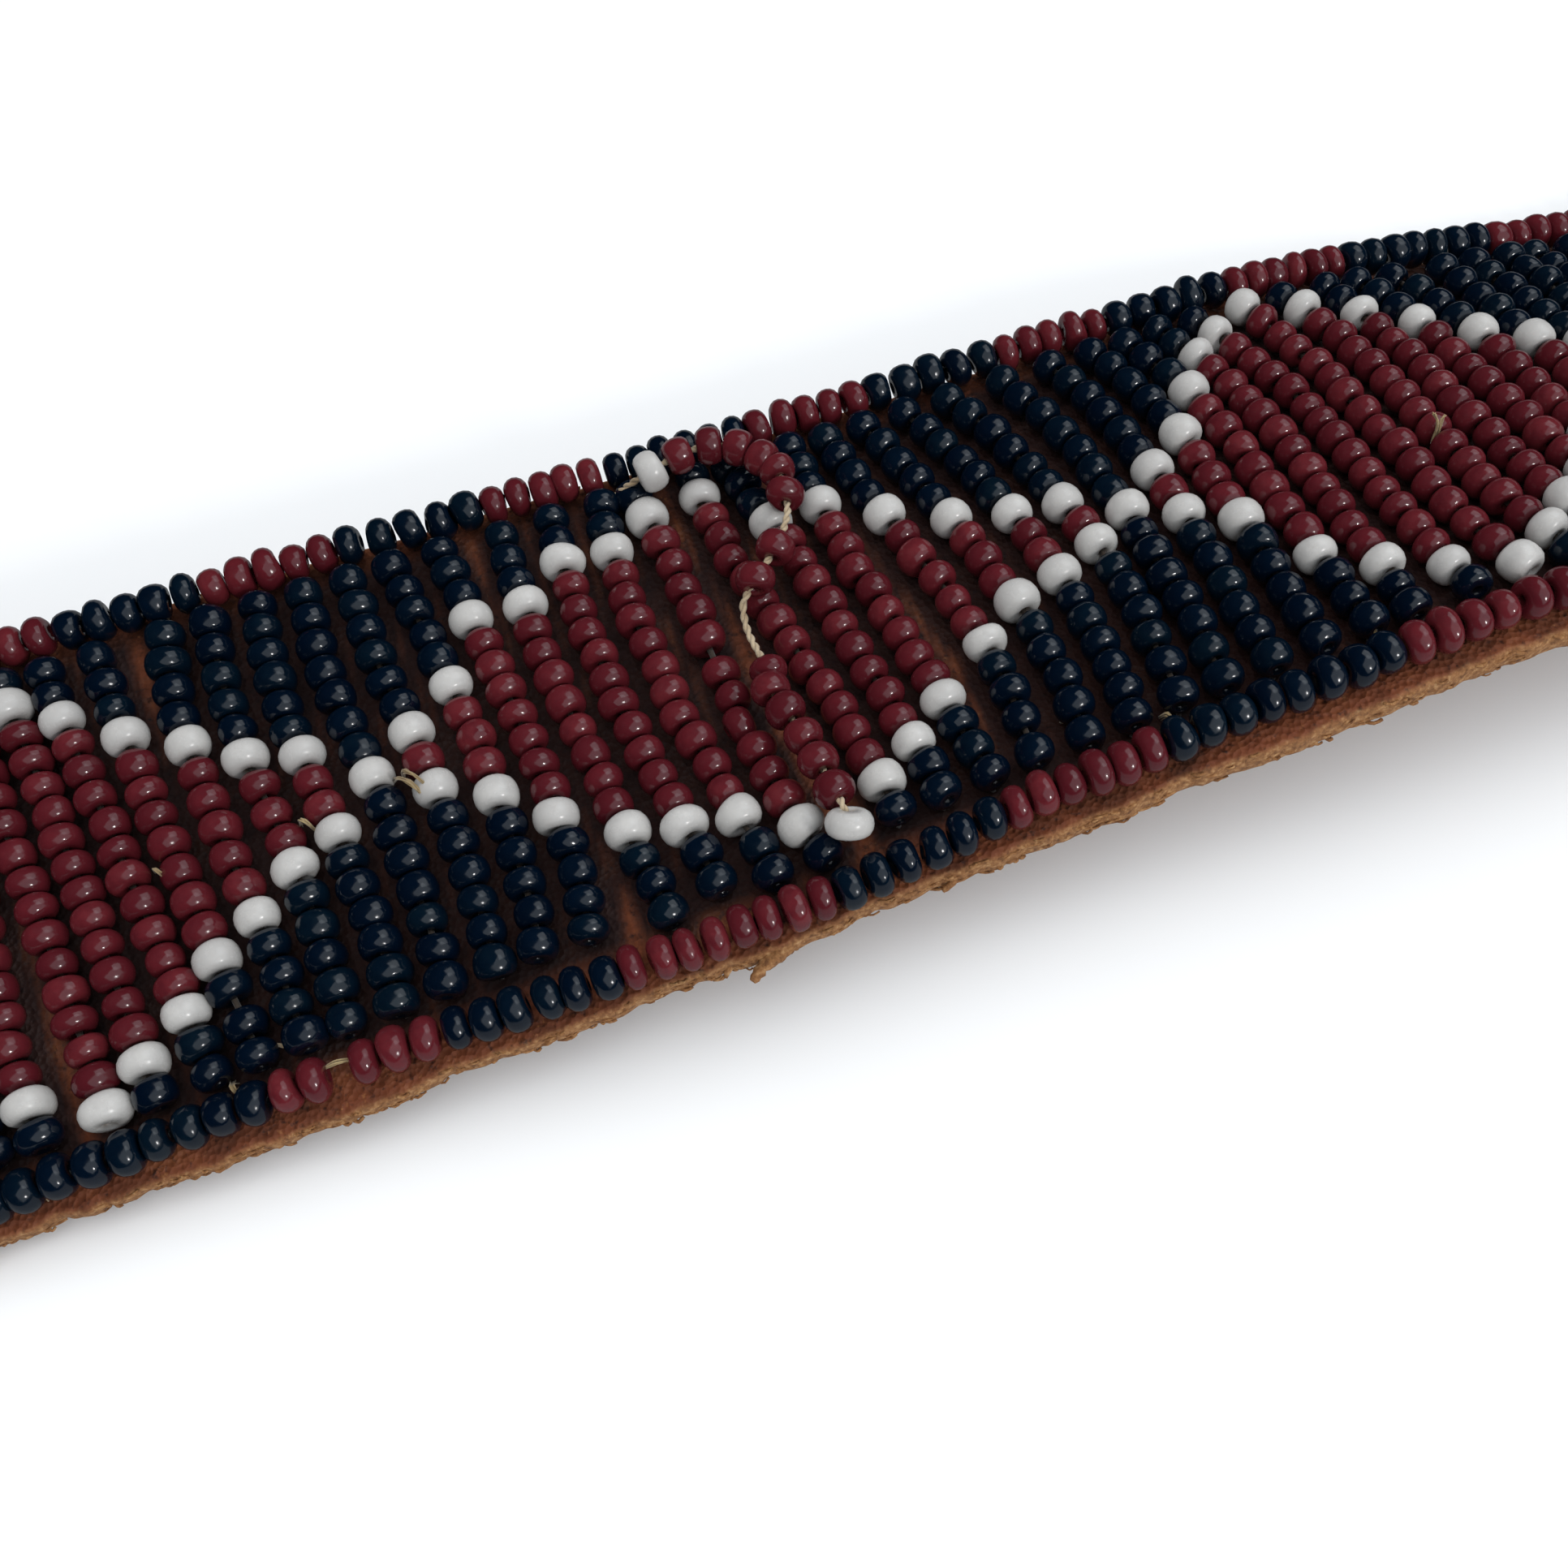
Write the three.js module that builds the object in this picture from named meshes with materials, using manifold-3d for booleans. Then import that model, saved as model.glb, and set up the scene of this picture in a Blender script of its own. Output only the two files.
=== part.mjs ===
import * as THREE from 'three';
import { mergeVertices } from 'three/addons/utils/BufferGeometryUtils.js';
import Module from 'manifold-3d';

// A leather belt with glass seed beads sewn over it in columns, lying face up on a surface.
// Millimetres, +Z up, +X from the buckle to the tip, the near edge at -Y.

// Strap
const strapLength = 930;
const strapWidth = 40;
const leatherThickness = 1.8;
const leatherBevel = 0.35;
const tipLength = 26;
const strapStep = 8;

// Punched holes near the tip
const holeCount = 5;
const holeDiameter = 5;
const holeSpacing = 25;
const lastHoleFromTip = 70;

// Turned-back end round the buckle's bar
const foldLength = 42;
const foldTaper = 18;
const foldRamp = 26;
const layerGap = 0.3;
const barClearance = 0.3;

// Buckle
const barDiameter = 3;
const frameDepth = 24;
const frameArm = 4.2;
const frameThickness = 3;
const frameCorner = 7;
const frameSideClearance = 0.8;
const frameBevel = 0.6;
const prongDiameter = 3;
const prongEyeDiameter = 5.2;
const prongEyeWidth = 5;
const slotClearance = 0.7;
const slotLength = 12;

// Bead field: one column of beads across the belt for each pitch. The beadwork leaves a margin
// of bare leather along the near edge and stands a little past the far edge.
const beadDiameter = 2.9;
const columnPitch = 3.3;
const columnLean = -0.0857;
const columnCount = 200;
const looseColumn = 109;
const beadsFromBar = 80;
const nearMargin = 1.4;
const farOverhang = 0.6;
const valleyDepth = 0.9;
const fieldShoulder = 0.7;

// Bead strings
const seat = 0.3;
const stringSides = 8;
const edgeStringSteps = 78;
const looseStringSteps = 44;

// How the belt lies: it is slightly twisted and lifted where the photograph shows it.
// Places are shares of the strap's length from the middle of the twist, turns are shares of
// the greatest turn, and lifts are shares of the rise that this turn gives to an edge.
const layTurnDegrees = 13;
const layMiddleColumns = 3;
const layRows = [
  { along: -0.247, lift: 0.0, turn: 0.0 },
  { along: -0.161, lift: 0.64, turn: 0.54 },
  { along: -0.081, lift: 1.07, turn: 1.0 },
  { along: 0.0, lift: 1.55, turn: 0.0 },
  { along: 0.038, lift: 1.89, turn: -0.45 },
  { along: 0.081, lift: 1.06, turn: -0.95 },
  { along: 0.161, lift: 0.64, turn: -0.54 },
  { along: 0.247, lift: 0.0, turn: 0.0 },
];

// Route of the loose string of beads: along the belt from its own column, across from the
// middle of the beadwork in shares of the field's half width, and height over the leather.
const looseStringRoute = [
  { along: -4.3, across: 0.89, height: 4.95 },
  { along: -2.0, across: 0.878, height: 4.95 },
  { along: 0.3, across: 0.909, height: 5.15 },
  { along: 2.6, across: 0.915, height: 5.15 },
  { along: 4.5, across: 0.86, height: 5.1 },
  { along: 5.8, across: 0.762, height: 4.95 },
  { along: 6.4, across: 0.671, height: 4.95 },
  { along: 6.2, across: 0.537, height: 4.95 },
  { along: 5.6, across: 0.415, height: 4.95 },
  { along: 4.1, across: 0.287, height: 4.95 },
  { along: 2.0, across: 0.171, height: 4.95 },
  { along: 0.7, across: 0.055, height: 4.95 },
  { along: 0.2, across: -0.067, height: 4.6 },
  { along: 0.2, across: -0.195, height: 4.0 },
  { along: 0.3, across: -0.317, height: 3.6 },
  { along: 0.5, across: -0.457, height: 3.4 },
  { along: 0.8, across: -0.61, height: 3.4 },
  { along: 1.1, across: -0.756, height: 3.6 },
  { along: 1.3, across: -0.939, height: 4.2 },
];

// Places worked out from the sizes
const barRadius = barDiameter / 2;
const beadRadius = beadDiameter / 2;
const halfWidth = strapWidth / 2;
const foldRadius = barRadius + barClearance + leatherThickness / 2;
const barHeight = leatherThickness / 2 + foldRadius;
const armReach = frameDepth + frameArm;
const frontDrop = Math.hypot(armReach, frameThickness / 2);
const buckleTilt = Math.asin(barHeight / frontDrop) - Math.atan2(frameThickness / 2, armReach);
const buckleReach = frontDrop * Math.cos(buckleTilt - Math.atan2(frameThickness / 2, armReach));
const barX = -(strapLength - buckleReach) / 2;
const tipX = barX + strapLength;
const beadsStart = barX + beadsFromBar;
const beadsEnd = beadsStart + columnCount * columnPitch;
const looseX = beadsStart + (looseColumn + 0.5) * columnPitch;
const layMiddle = looseX + layMiddleColumns * columnPitch;
const beadworkOffset = (nearMargin + farOverhang) / 2;
const laneOffset = halfWidth - (nearMargin - farOverhang) / 2 - beadRadius;
const fieldHalf = laneOffset - beadRadius - seat;
const layTurn = THREE.MathUtils.degToRad(layTurnDegrees);
const layLift = halfWidth * Math.sin(layTurn);

const layStations = [
  { x: barX, lift: 2 * foldRadius, turn: 0 },
  { x: barX + foldTaper, lift: leatherThickness + layerGap, turn: 0 },
  { x: barX + foldLength, lift: leatherThickness + layerGap, turn: 0 },
  { x: barX + foldLength + foldRamp, lift: 0, turn: 0 },
  ...layRows.map((row) => ({
    x: layMiddle + row.along * strapLength,
    lift: row.lift * layLift,
    turn: row.turn * layTurn,
  })),
  { x: tipX, lift: 0, turn: 0 },
];

// Smooth curve through the stations that never swings past them
function slopeAt(stations, key, index) {
  if (index === 0 || index === stations.length - 1) {
    return 0;
  }
  const before = stations[index - 1];
  const here = stations[index];
  const after = stations[index + 1];
  const left = (here[key] - before[key]) / (here.x - before.x);
  const right = (after[key] - here[key]) / (after.x - here.x);
  return left * right > 0 ? 2 / (1 / left + 1 / right) : 0;
}

function smoothAt(stations, key, x) {
  const last = stations.length - 1;
  const place = THREE.MathUtils.clamp(x, stations[0].x, stations[last].x);
  const index = Math.min(stations.findLastIndex((station) => station.x <= place), last - 1);
  const from = stations[index];
  const to = stations[index + 1];
  const width = to.x - from.x;
  const t = (place - from.x) / width;
  const start = (2 * t ** 3 - 3 * t ** 2 + 1) * from[key];
  const end = (3 * t ** 2 - 2 * t ** 3) * to[key];
  const startSlope = (t ** 3 - 2 * t ** 2 + t) * width * slopeAt(stations, key, index);
  const endSlope = (t ** 3 - t ** 2) * width * slopeAt(stations, key, index + 1);
  return start + end + startSlope + endSlope;
}

// The belt's own axes at a place along it: forward, across to the far side, and up from its face
function layAxes(x) {
  const probe = 0.5;
  const rise = smoothAt(layStations, 'lift', x + probe) - smoothAt(layStations, 'lift', x - probe);
  const slope = Math.atan2(rise, 2 * probe);
  const turn = smoothAt(layStations, 'turn', x);
  const forward = new THREE.Vector3(Math.cos(slope), 0, Math.sin(slope));
  const flatUp = new THREE.Vector3(-Math.sin(slope), 0, Math.cos(slope));
  const across = new THREE.Vector3(0, Math.cos(turn), 0).addScaledVector(flatUp, Math.sin(turn));
  const up = new THREE.Vector3().crossVectors(forward, across);
  return { forward, across, up };
}

// A point on the belt: along it, across it and above its underside
function onBelt(x, across, height) {
  const axes = layAxes(x);
  const point = new THREE.Vector3(x, 0, smoothAt(layStations, 'lift', x));
  return point.addScaledVector(axes.across, across).addScaledVector(axes.up, height);
}

// A closed solid through rings of points that run anticlockwise seen from the far end
function loft(rings) {
  const sides = rings[0].length;
  const positions = rings.flatMap((ring) => ring.flatMap((point) => [point.x, point.y, point.z]));
  const faces = [];
  for (let ring = 0; ring + 1 < rings.length; ring += 1) {
    for (let side = 0; side < sides; side += 1) {
      const next = (side + 1) % sides;
      const a = ring * sides + side;
      const b = ring * sides + next;
      faces.push(a, b, b + sides, a, b + sides, a + sides);
    }
  }
  const end = (rings.length - 1) * sides;
  for (let side = 1; side + 1 < sides; side += 1) {
    faces.push(0, side + 1, side);
    faces.push(end, end + side, end + side + 1);
  }
  const geometry = new THREE.BufferGeometry();
  geometry.setAttribute('position', new THREE.Float32BufferAttribute(positions, 3));
  geometry.setIndex(faces);
  return geometry;
}

// A round bar along a smooth curve through the points
function roundBar(points, diameter, sides, steps) {
  const curve = new THREE.CatmullRomCurve3(points);
  const frames = curve.computeFrenetFrames(steps, false);
  const rings = [];
  for (let step = 0; step <= steps; step += 1) {
    const middle = curve.getPointAt(step / steps);
    const ring = [];
    for (let side = 0; side < sides; side += 1) {
      const angle = (2 * Math.PI * side) / sides;
      const normal = frames.normals[step].clone().multiplyScalar(Math.cos(angle));
      const direction = normal.addScaledVector(frames.binormals[step], Math.sin(angle));
      ring.push(middle.clone().addScaledVector(direction, diameter / 2));
    }
    rings.push(ring);
  }
  return loft(rings);
}

// Solids for cutting and joining
const wasm = await Module();
wasm.setup();

function toSolid(geometry) {
  const bare = geometry.clone();
  bare.deleteAttribute('normal');
  bare.deleteAttribute('uv');
  const merged = mergeVertices(bare, 1e-4);
  const vertProperties = new Float32Array(merged.attributes.position.array);
  const triVerts = new Uint32Array(merged.index.array);
  return new wasm.Manifold(new wasm.Mesh({ numProp: 3, vertProperties, triVerts }));
}

function toGeometry(solid) {
  const mesh = solid.getMesh();
  const geometry = new THREE.BufferGeometry();
  geometry.setAttribute('position', new THREE.BufferAttribute(mesh.vertProperties, 3));
  geometry.setIndex(new THREE.BufferAttribute(mesh.triVerts, 1));
  return geometry;
}

// Strap: a strip that starts under itself, turns round the bar and runs to the rounded tip
function strapRing(middle, across, up, half) {
  const bevel = Math.min(leatherBevel, leatherThickness / 3, half / 2);
  const deep = leatherThickness / 2;
  const outline = [
    [-half + bevel, -deep],
    [half - bevel, -deep],
    [half, -deep + bevel],
    [half, deep - bevel],
    [half - bevel, deep],
    [-half + bevel, deep],
    [-half, deep - bevel],
    [-half, -deep + bevel],
  ];
  return outline.map(([side, height]) => (
    middle.clone().addScaledVector(across, side).addScaledVector(up, height)
  ));
}

function strapRings() {
  const rings = [];
  const acrossFlat = new THREE.Vector3(0, 1, 0);
  const down = new THREE.Vector3(0, 0, -1);
  const underSteps = 3;
  for (let step = 0; step < underSteps; step += 1) {
    const x = barX + foldLength * (1 - step / underSteps);
    rings.push(strapRing(new THREE.Vector3(x, 0, leatherThickness / 2), acrossFlat, down, halfWidth));
  }
  const foldSteps = 10;
  for (let step = 0; step < foldSteps; step += 1) {
    const angle = (Math.PI * step) / foldSteps;
    const up = new THREE.Vector3(-Math.sin(angle), 0, -Math.cos(angle));
    const middle = new THREE.Vector3(barX, 0, barHeight).addScaledVector(up, foldRadius);
    rings.push(strapRing(middle, acrossFlat, up, halfWidth));
  }
  const rampSteps = 6;
  const bodyStart = barX + foldTaper;
  const bodyEnd = tipX - tipLength;
  const bodySteps = Math.round((bodyEnd - bodyStart) / strapStep);
  const tipSteps = 7;
  const tipSweep = THREE.MathUtils.degToRad(80);
  const runs = [];
  for (let step = 0; step < rampSteps; step += 1) {
    runs.push({ x: barX + (foldTaper * step) / rampSteps, half: halfWidth });
  }
  for (let step = 0; step < bodySteps; step += 1) {
    runs.push({ x: bodyStart + ((bodyEnd - bodyStart) * step) / bodySteps, half: halfWidth });
  }
  for (let step = 0; step <= tipSteps; step += 1) {
    const angle = (tipSweep * step) / tipSteps;
    const reach = Math.sin(angle) / Math.sin(tipSweep);
    runs.push({ x: bodyEnd + tipLength * reach, half: halfWidth * Math.cos(angle) });
  }
  for (const { x, half } of runs) {
    const axes = layAxes(x);
    rings.push(strapRing(onBelt(x, 0, leatherThickness / 2), axes.across, axes.up, half));
  }
  return rings;
}

function prongSlot() {
  const half = prongEyeWidth / 2 + slotClearance;
  const front = barX - foldRadius - leatherThickness;
  const back = barX + slotLength - half;
  const outline = new THREE.Shape();
  outline.moveTo(front, -half);
  outline.lineTo(back, -half);
  outline.absarc(back, 0, half, -Math.PI / 2, Math.PI / 2, false);
  outline.lineTo(front, half);
  outline.closePath();
  const depth = 2 * (foldRadius + leatherThickness);
  const options = { depth, bevelEnabled: false, curveSegments: 8 };
  const geometry = new THREE.ExtrudeGeometry(outline, options);
  return geometry.translate(0, 0, barHeight - depth / 2);
}

function punchedHole(index) {
  const x = tipX - lastHoleFromTip - index * holeSpacing;
  const radius = holeDiameter / 2;
  const geometry = new THREE.CylinderGeometry(radius, radius, 3 * leatherThickness, 16);
  return geometry.rotateX(Math.PI / 2).translate(x, 0, leatherThickness / 2);
}

function makeStrap() {
  let solid = toSolid(loft(strapRings())).subtract(toSolid(prongSlot()));
  for (let index = 0; index < holeCount; index += 1) {
    solid = solid.subtract(toSolid(punchedHole(index)));
  }
  return toGeometry(solid);
}

// Buckle: an open frame, its bar and its prong, joined
function frameOutline(half, arm, front, back, corner) {
  const inner = half - arm;
  const innerFront = front + arm;
  const innerCorner = Math.max(corner - arm, 1);
  const outline = new THREE.Shape();
  outline.moveTo(back, -half);
  outline.lineTo(back, -inner);
  outline.lineTo(innerFront + innerCorner, -inner);
  outline.absarc(innerFront + innerCorner, -inner + innerCorner, innerCorner, 1.5 * Math.PI, Math.PI, true);
  outline.lineTo(innerFront, inner - innerCorner);
  outline.absarc(innerFront + innerCorner, inner - innerCorner, innerCorner, Math.PI, Math.PI / 2, true);
  outline.lineTo(back, inner);
  outline.lineTo(back, half);
  outline.lineTo(front + corner, half);
  outline.absarc(front + corner, half - corner, corner, Math.PI / 2, Math.PI, false);
  outline.lineTo(front, -half + corner);
  outline.absarc(front + corner, -half + corner, corner, Math.PI, 1.5 * Math.PI, false);
  outline.closePath();
  return outline;
}

function makeBuckle() {
  const half = halfWidth + frameSideClearance + frameArm;
  const bevel = Math.min(frameBevel, frameArm / 3, frameThickness / 3);
  const outline = frameOutline(
    half - bevel,
    frameArm - 2 * bevel,
    -armReach + bevel,
    barRadius,
    frameCorner - bevel,
  );
  const frame = new THREE.ExtrudeGeometry(outline, {
    depth: frameThickness - 2 * bevel,
    bevelEnabled: true,
    bevelThickness: bevel,
    bevelSize: bevel,
    bevelSegments: 2,
    curveSegments: 5,
  });
  frame.translate(0, 0, bevel - frameThickness / 2);
  const bar = new THREE.CylinderGeometry(barRadius, barRadius, 2 * half - frameArm, 16);
  const eyeRadius = prongEyeDiameter / 2;
  const eye = new THREE.CylinderGeometry(eyeRadius, eyeRadius, prongEyeWidth, 16);
  const overFrame = (frameThickness + prongDiameter) / 2 - 0.2;
  const prong = roundBar([
    new THREE.Vector3(0, 0, 0.6),
    new THREE.Vector3(-armReach * 0.2, 0, overFrame * 0.75),
    new THREE.Vector3(-armReach * 0.5, 0, overFrame),
    new THREE.Vector3(-armReach * 0.8, 0, overFrame),
    new THREE.Vector3(-armReach + 0.3, 0, overFrame - 0.4),
  ], prongDiameter, 10, 14);
  const solid = [bar, eye, prong].reduce(
    (whole, piece) => whole.add(toSolid(piece)),
    toSolid(frame),
  );
  return toGeometry(solid);
}

// Bead field: a bed as thick as one bead, with a ridge for each column
function fieldRing(x, top) {
  const shoulder = Math.min(fieldShoulder, top / 2);
  const outline = [
    [-fieldHalf, 0],
    [fieldHalf, 0],
    [fieldHalf, top - shoulder],
    [fieldHalf - shoulder, top],
    [-fieldHalf + shoulder, top],
    [-fieldHalf, top - shoulder],
  ];
  return outline.map(([across, height]) => (
    onBelt(x + columnLean * across, across + beadworkOffset, leatherThickness + seat + height)
  ));
}

function makeField(firstColumn, lastColumn) {
  const valley = beadDiameter - valleyDepth;
  const rings = [fieldRing(beadsStart + firstColumn * columnPitch, valley)];
  for (let column = firstColumn; column <= lastColumn; column += 1) {
    rings.push(fieldRing(beadsStart + (column + 0.5) * columnPitch, beadDiameter));
    rings.push(fieldRing(beadsStart + (column + 1) * columnPitch, valley));
  }
  return loft(rings);
}

// Edge strings: beads threaded along the belt, one string beside each end of the columns
function makeEdgeString(side) {
  const rings = [];
  const across = beadworkOffset + side * laneOffset;
  const height = leatherThickness + seat + beadRadius;
  for (let step = 0; step <= edgeStringSteps; step += 1) {
    const x = beadsStart + ((beadsEnd - beadsStart) * step) / edgeStringSteps;
    const axes = layAxes(x);
    const middle = onBelt(x, across, height);
    const ring = [];
    for (let corner = 0; corner < stringSides; corner += 1) {
      const angle = (2 * Math.PI * (corner + 0.5)) / stringSides;
      const point = middle.clone().addScaledVector(axes.across, beadRadius * Math.cos(angle));
      ring.push(point.addScaledVector(axes.up, beadRadius * Math.sin(angle)));
    }
    rings.push(ring);
  }
  return loft(rings);
}

// Loose string: one column of beads that lies over its neighbours
function makeLooseString() {
  const points = looseStringRoute.map(({ along, across, height }) => (
    onBelt(looseX + along, across * fieldHalf + beadworkOffset, leatherThickness + height)
  ));
  return roundBar(points, beadDiameter, stringSides, looseStringSteps);
}

// Colours
const leather = { color: 0x96552d, roughness: 0.75, metalness: 0 };
const darkGlass = { color: 0x0c1926, roughness: 0.2, metalness: 0 };
const redGlass = { color: 0x732024, roughness: 0.2, metalness: 0 };
const brass = { color: 0x9a8050, roughness: 0.35, metalness: 1 };

function named(name, geometry, finish) {
  const mesh = new THREE.Mesh(geometry, new THREE.MeshStandardMaterial(finish));
  mesh.name = name;
  return mesh;
}

// Assembly
const belt = new THREE.Group();
belt.add(named('strap', makeStrap(), leather));

const buckle = named('buckle', makeBuckle(), brass);
buckle.position.set(barX, 0, barHeight);
buckle.rotation.y = -buckleTilt;
belt.add(buckle);

belt.add(named('bead_field_buckle_side', makeField(0, looseColumn - 1), darkGlass));
belt.add(named('bead_field_tip_side', makeField(looseColumn + 1, columnCount - 1), redGlass));
belt.add(named('edge_string_near', makeEdgeString(-1), darkGlass));
belt.add(named('edge_string_far', makeEdgeString(1), redGlass));
belt.add(named('loose_string', makeLooseString(), redGlass));

export default belt;
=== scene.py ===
import math
from collections import namedtuple

import bpy
import numpy as np
from mathutils import Matrix, Vector, kdtree, noise


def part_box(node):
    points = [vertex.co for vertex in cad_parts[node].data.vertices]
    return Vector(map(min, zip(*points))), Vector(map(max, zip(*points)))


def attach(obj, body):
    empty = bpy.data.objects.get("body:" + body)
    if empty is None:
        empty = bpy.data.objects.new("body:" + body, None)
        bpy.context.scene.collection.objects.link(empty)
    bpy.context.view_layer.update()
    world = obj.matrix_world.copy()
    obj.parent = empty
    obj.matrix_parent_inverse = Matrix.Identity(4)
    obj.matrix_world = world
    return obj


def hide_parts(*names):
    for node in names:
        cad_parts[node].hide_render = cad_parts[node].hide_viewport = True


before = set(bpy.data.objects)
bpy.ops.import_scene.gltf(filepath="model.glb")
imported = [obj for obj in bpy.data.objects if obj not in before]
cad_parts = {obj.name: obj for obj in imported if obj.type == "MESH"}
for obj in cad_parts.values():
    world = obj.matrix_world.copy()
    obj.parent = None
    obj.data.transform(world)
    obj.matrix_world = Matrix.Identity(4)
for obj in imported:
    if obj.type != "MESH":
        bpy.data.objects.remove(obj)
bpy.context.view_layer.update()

# The strap is one strip of tan leather, cut with a knife, so its edges are raw and show pale
# fibres. One end turns back under the strap round the buckle's bar, and the other is rounded
# and punched. It lies face up, a little twisted and lifted along the middle. Millimetres.
MM = 0.001
strap_length = 930.0
strap_width = 40.0
leather_thickness = 1.8
fold_length = 42.0
fold_taper = 18.0
fold_ramp = 26.0
layer_gap = 0.3
bar_radius = 1.5
bar_clearance = 0.3
tip_length = 26.0
hole_count = 5
hole_diameter = 5.0
hole_spacing = 25.0
last_hole_from_tip = 70.0
slot_half = 3.3
slot_length = 12.0
half_width = strap_width / 2
fold_radius = bar_radius + bar_clearance + leather_thickness / 2
bar_height = leather_thickness / 2 + fold_radius
tip_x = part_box("strap")[1].x / MM
bar_x = tip_x - strap_length


# One column of beads has come loose. The belt's lie is placed from it, and so is the stretch of
# the cut edge that is made finely.
column_pitch = 3.3
loose_column = 109
beads_from_bar = 80.0
beads_start = bar_x + beads_from_bar
loose_x = beads_start + (loose_column + 0.5) * column_pitch
fine_start = loose_x - 70.0
fine_end = loose_x + 85.0

# The lie in shares: of the belt's length from the middle, of the most lift and of the most turn.
LayRow = namedtuple("LayRow", "along lift turn")
lay_rows = [
    LayRow(-0.247, 0.0, 0.0),
    LayRow(-0.161, 0.64, 0.54),
    LayRow(-0.081, 1.07, 1.0),
    LayRow(0.0, 1.55, 0.0),
    LayRow(0.038, 1.89, -0.45),
    LayRow(0.081, 1.06, -0.95),
    LayRow(0.161, 0.64, -0.54),
    LayRow(0.247, 0.0, 0.0),
]
lay_middle = loose_x + 3 * column_pitch
lay_turn = math.radians(13)
lay_lift = half_width * math.sin(lay_turn)
stations = [
    (bar_x, 2 * fold_radius, 0.0),
    (bar_x + fold_taper, leather_thickness + layer_gap, 0.0),
    (bar_x + fold_length, leather_thickness + layer_gap, 0.0),
    (bar_x + fold_length + fold_ramp, 0.0, 0.0),
]
for row in lay_rows:
    place = lay_middle + row.along * strap_length
    stations.append((place, row.lift * lay_lift, row.turn * lay_turn))
stations.append((tip_x, 0.0, 0.0))
stations = np.array(stations)


def smooth_through(values, x):
    """A curve through the stations that never swings past them, at each x."""
    places = stations[:, 0]
    steps = np.diff(values) / np.diff(places)
    slopes = np.zeros(len(values))
    for index in range(1, len(values) - 1):
        before, after = steps[index - 1], steps[index]
        if before * after > 0:
            slopes[index] = 2 / (1 / before + 1 / after)
    index = np.clip(np.searchsorted(places, x) - 1, 0, len(values) - 2)
    width = places[index + 1] - places[index]
    t = np.clip((x - places[index]) / width, 0, 1)
    start = (2 * t**3 - 3 * t**2 + 1) * values[index]
    end = (3 * t**2 - 2 * t**3) * values[index + 1]
    start_slope = (t**3 - 2 * t**2 + t) * width * slopes[index]
    end_slope = (t**3 - t**2) * width * slopes[index + 1]
    return start + end + start_slope + end_slope


def lay_axes(x):
    """The belt's forward, across and up directions at each x."""
    x = np.asarray(x, float)
    rise = smooth_through(stations[:, 1], x + 0.5) - smooth_through(stations[:, 1], x - 0.5)
    slope = np.arctan(rise)
    turn = smooth_through(stations[:, 2], x)
    zero = np.zeros_like(slope)
    forward = np.stack([np.cos(slope), zero, np.sin(slope)], -1)
    flat_up = np.stack([-np.sin(slope), zero, np.cos(slope)], -1)
    level = np.stack([zero, np.ones_like(slope), zero], -1)
    across = level * np.cos(turn)[..., None] + flat_up * np.sin(turn)[..., None]
    up = np.cross(forward, across)
    return forward, across, up


def on_belt(x, across, height):
    """Points on the belt: along it, across it from its middle, and above its underside."""
    x, across, height = np.broadcast_arrays(*(np.asarray(v, float) for v in (x, across, height)))
    _, side, up = lay_axes(x)
    base = np.stack([x, np.zeros_like(x), smooth_through(stations[:, 1], x)], -1)
    return base + side * across[..., None] + up * height[..., None]


def make_mesh(name, points, faces, marks=None):
    """An object from points in millimetres and faces of equal size, with named vertex values."""
    points = np.asarray(points, float).reshape(-1, 3) * MM
    faces = np.asarray(faces, np.int32)
    corners = faces.shape[1]
    mesh = bpy.data.meshes.new(name)
    mesh.vertices.add(len(points))
    mesh.vertices.foreach_set("co", points.astype(np.float32).ravel())
    mesh.loops.add(faces.size)
    mesh.loops.foreach_set("vertex_index", faces.ravel())
    mesh.polygons.add(len(faces))
    mesh.polygons.foreach_set("loop_start", np.arange(len(faces), dtype=np.int32) * corners)
    mesh.polygons.foreach_set("use_smooth", np.full(len(faces), True))
    for mark, values in (marks or {}).items():
        layer = mesh.attributes.new(mark, "FLOAT", "POINT")
        layer.data.foreach_set("value", np.asarray(values, np.float32).ravel())
    mesh.update(calc_edges=True)
    mesh.validate()
    piece = bpy.data.objects.new(name, mesh)
    bpy.context.scene.collection.objects.link(piece)
    return piece


def ring_faces(rings, sides):
    """Quads between rings of points that follow each other, without the two ends."""
    ring, side = np.meshgrid(np.arange(rings - 1), np.arange(sides), indexing="ij")
    after = (side + 1) % sides
    quads = [ring * sides + side, ring * sides + after]
    quads += [(ring + 1) * sides + after, (ring + 1) * sides + side]
    return np.stack(quads, -1).reshape(-1, 4)


def end_faces(first, sides, flip):
    """Quads that close a ring of an even number of points, straight across it."""
    quads = []
    for step in range(sides // 2 - 1):
        quad = [first + step, first + step + 1]
        quad += [first + sides - 2 - step, first + sides - 1 - step]
        quads.append(quad[::-1] if flip else quad)
    return quads


# A cut edge from the face down: millimetres in, share of half the thickness, and rawness.
EdgePoint = namedtuple("EdgePoint", "inset height raw")
cut_face = [
    EdgePoint(0.28, 0.99, 0.1),
    EdgePoint(0.1, 0.9, 0.6),
    EdgePoint(0.0, 0.66, 1.0),
    EdgePoint(-0.04, 0.33, 1.0),
    EdgePoint(-0.05, 0.0, 1.0),
    EdgePoint(-0.03, -0.33, 1.0),
    EdgePoint(0.02, -0.66, 1.0),
    EdgePoint(0.12, -0.9, 0.8),
]


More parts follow.
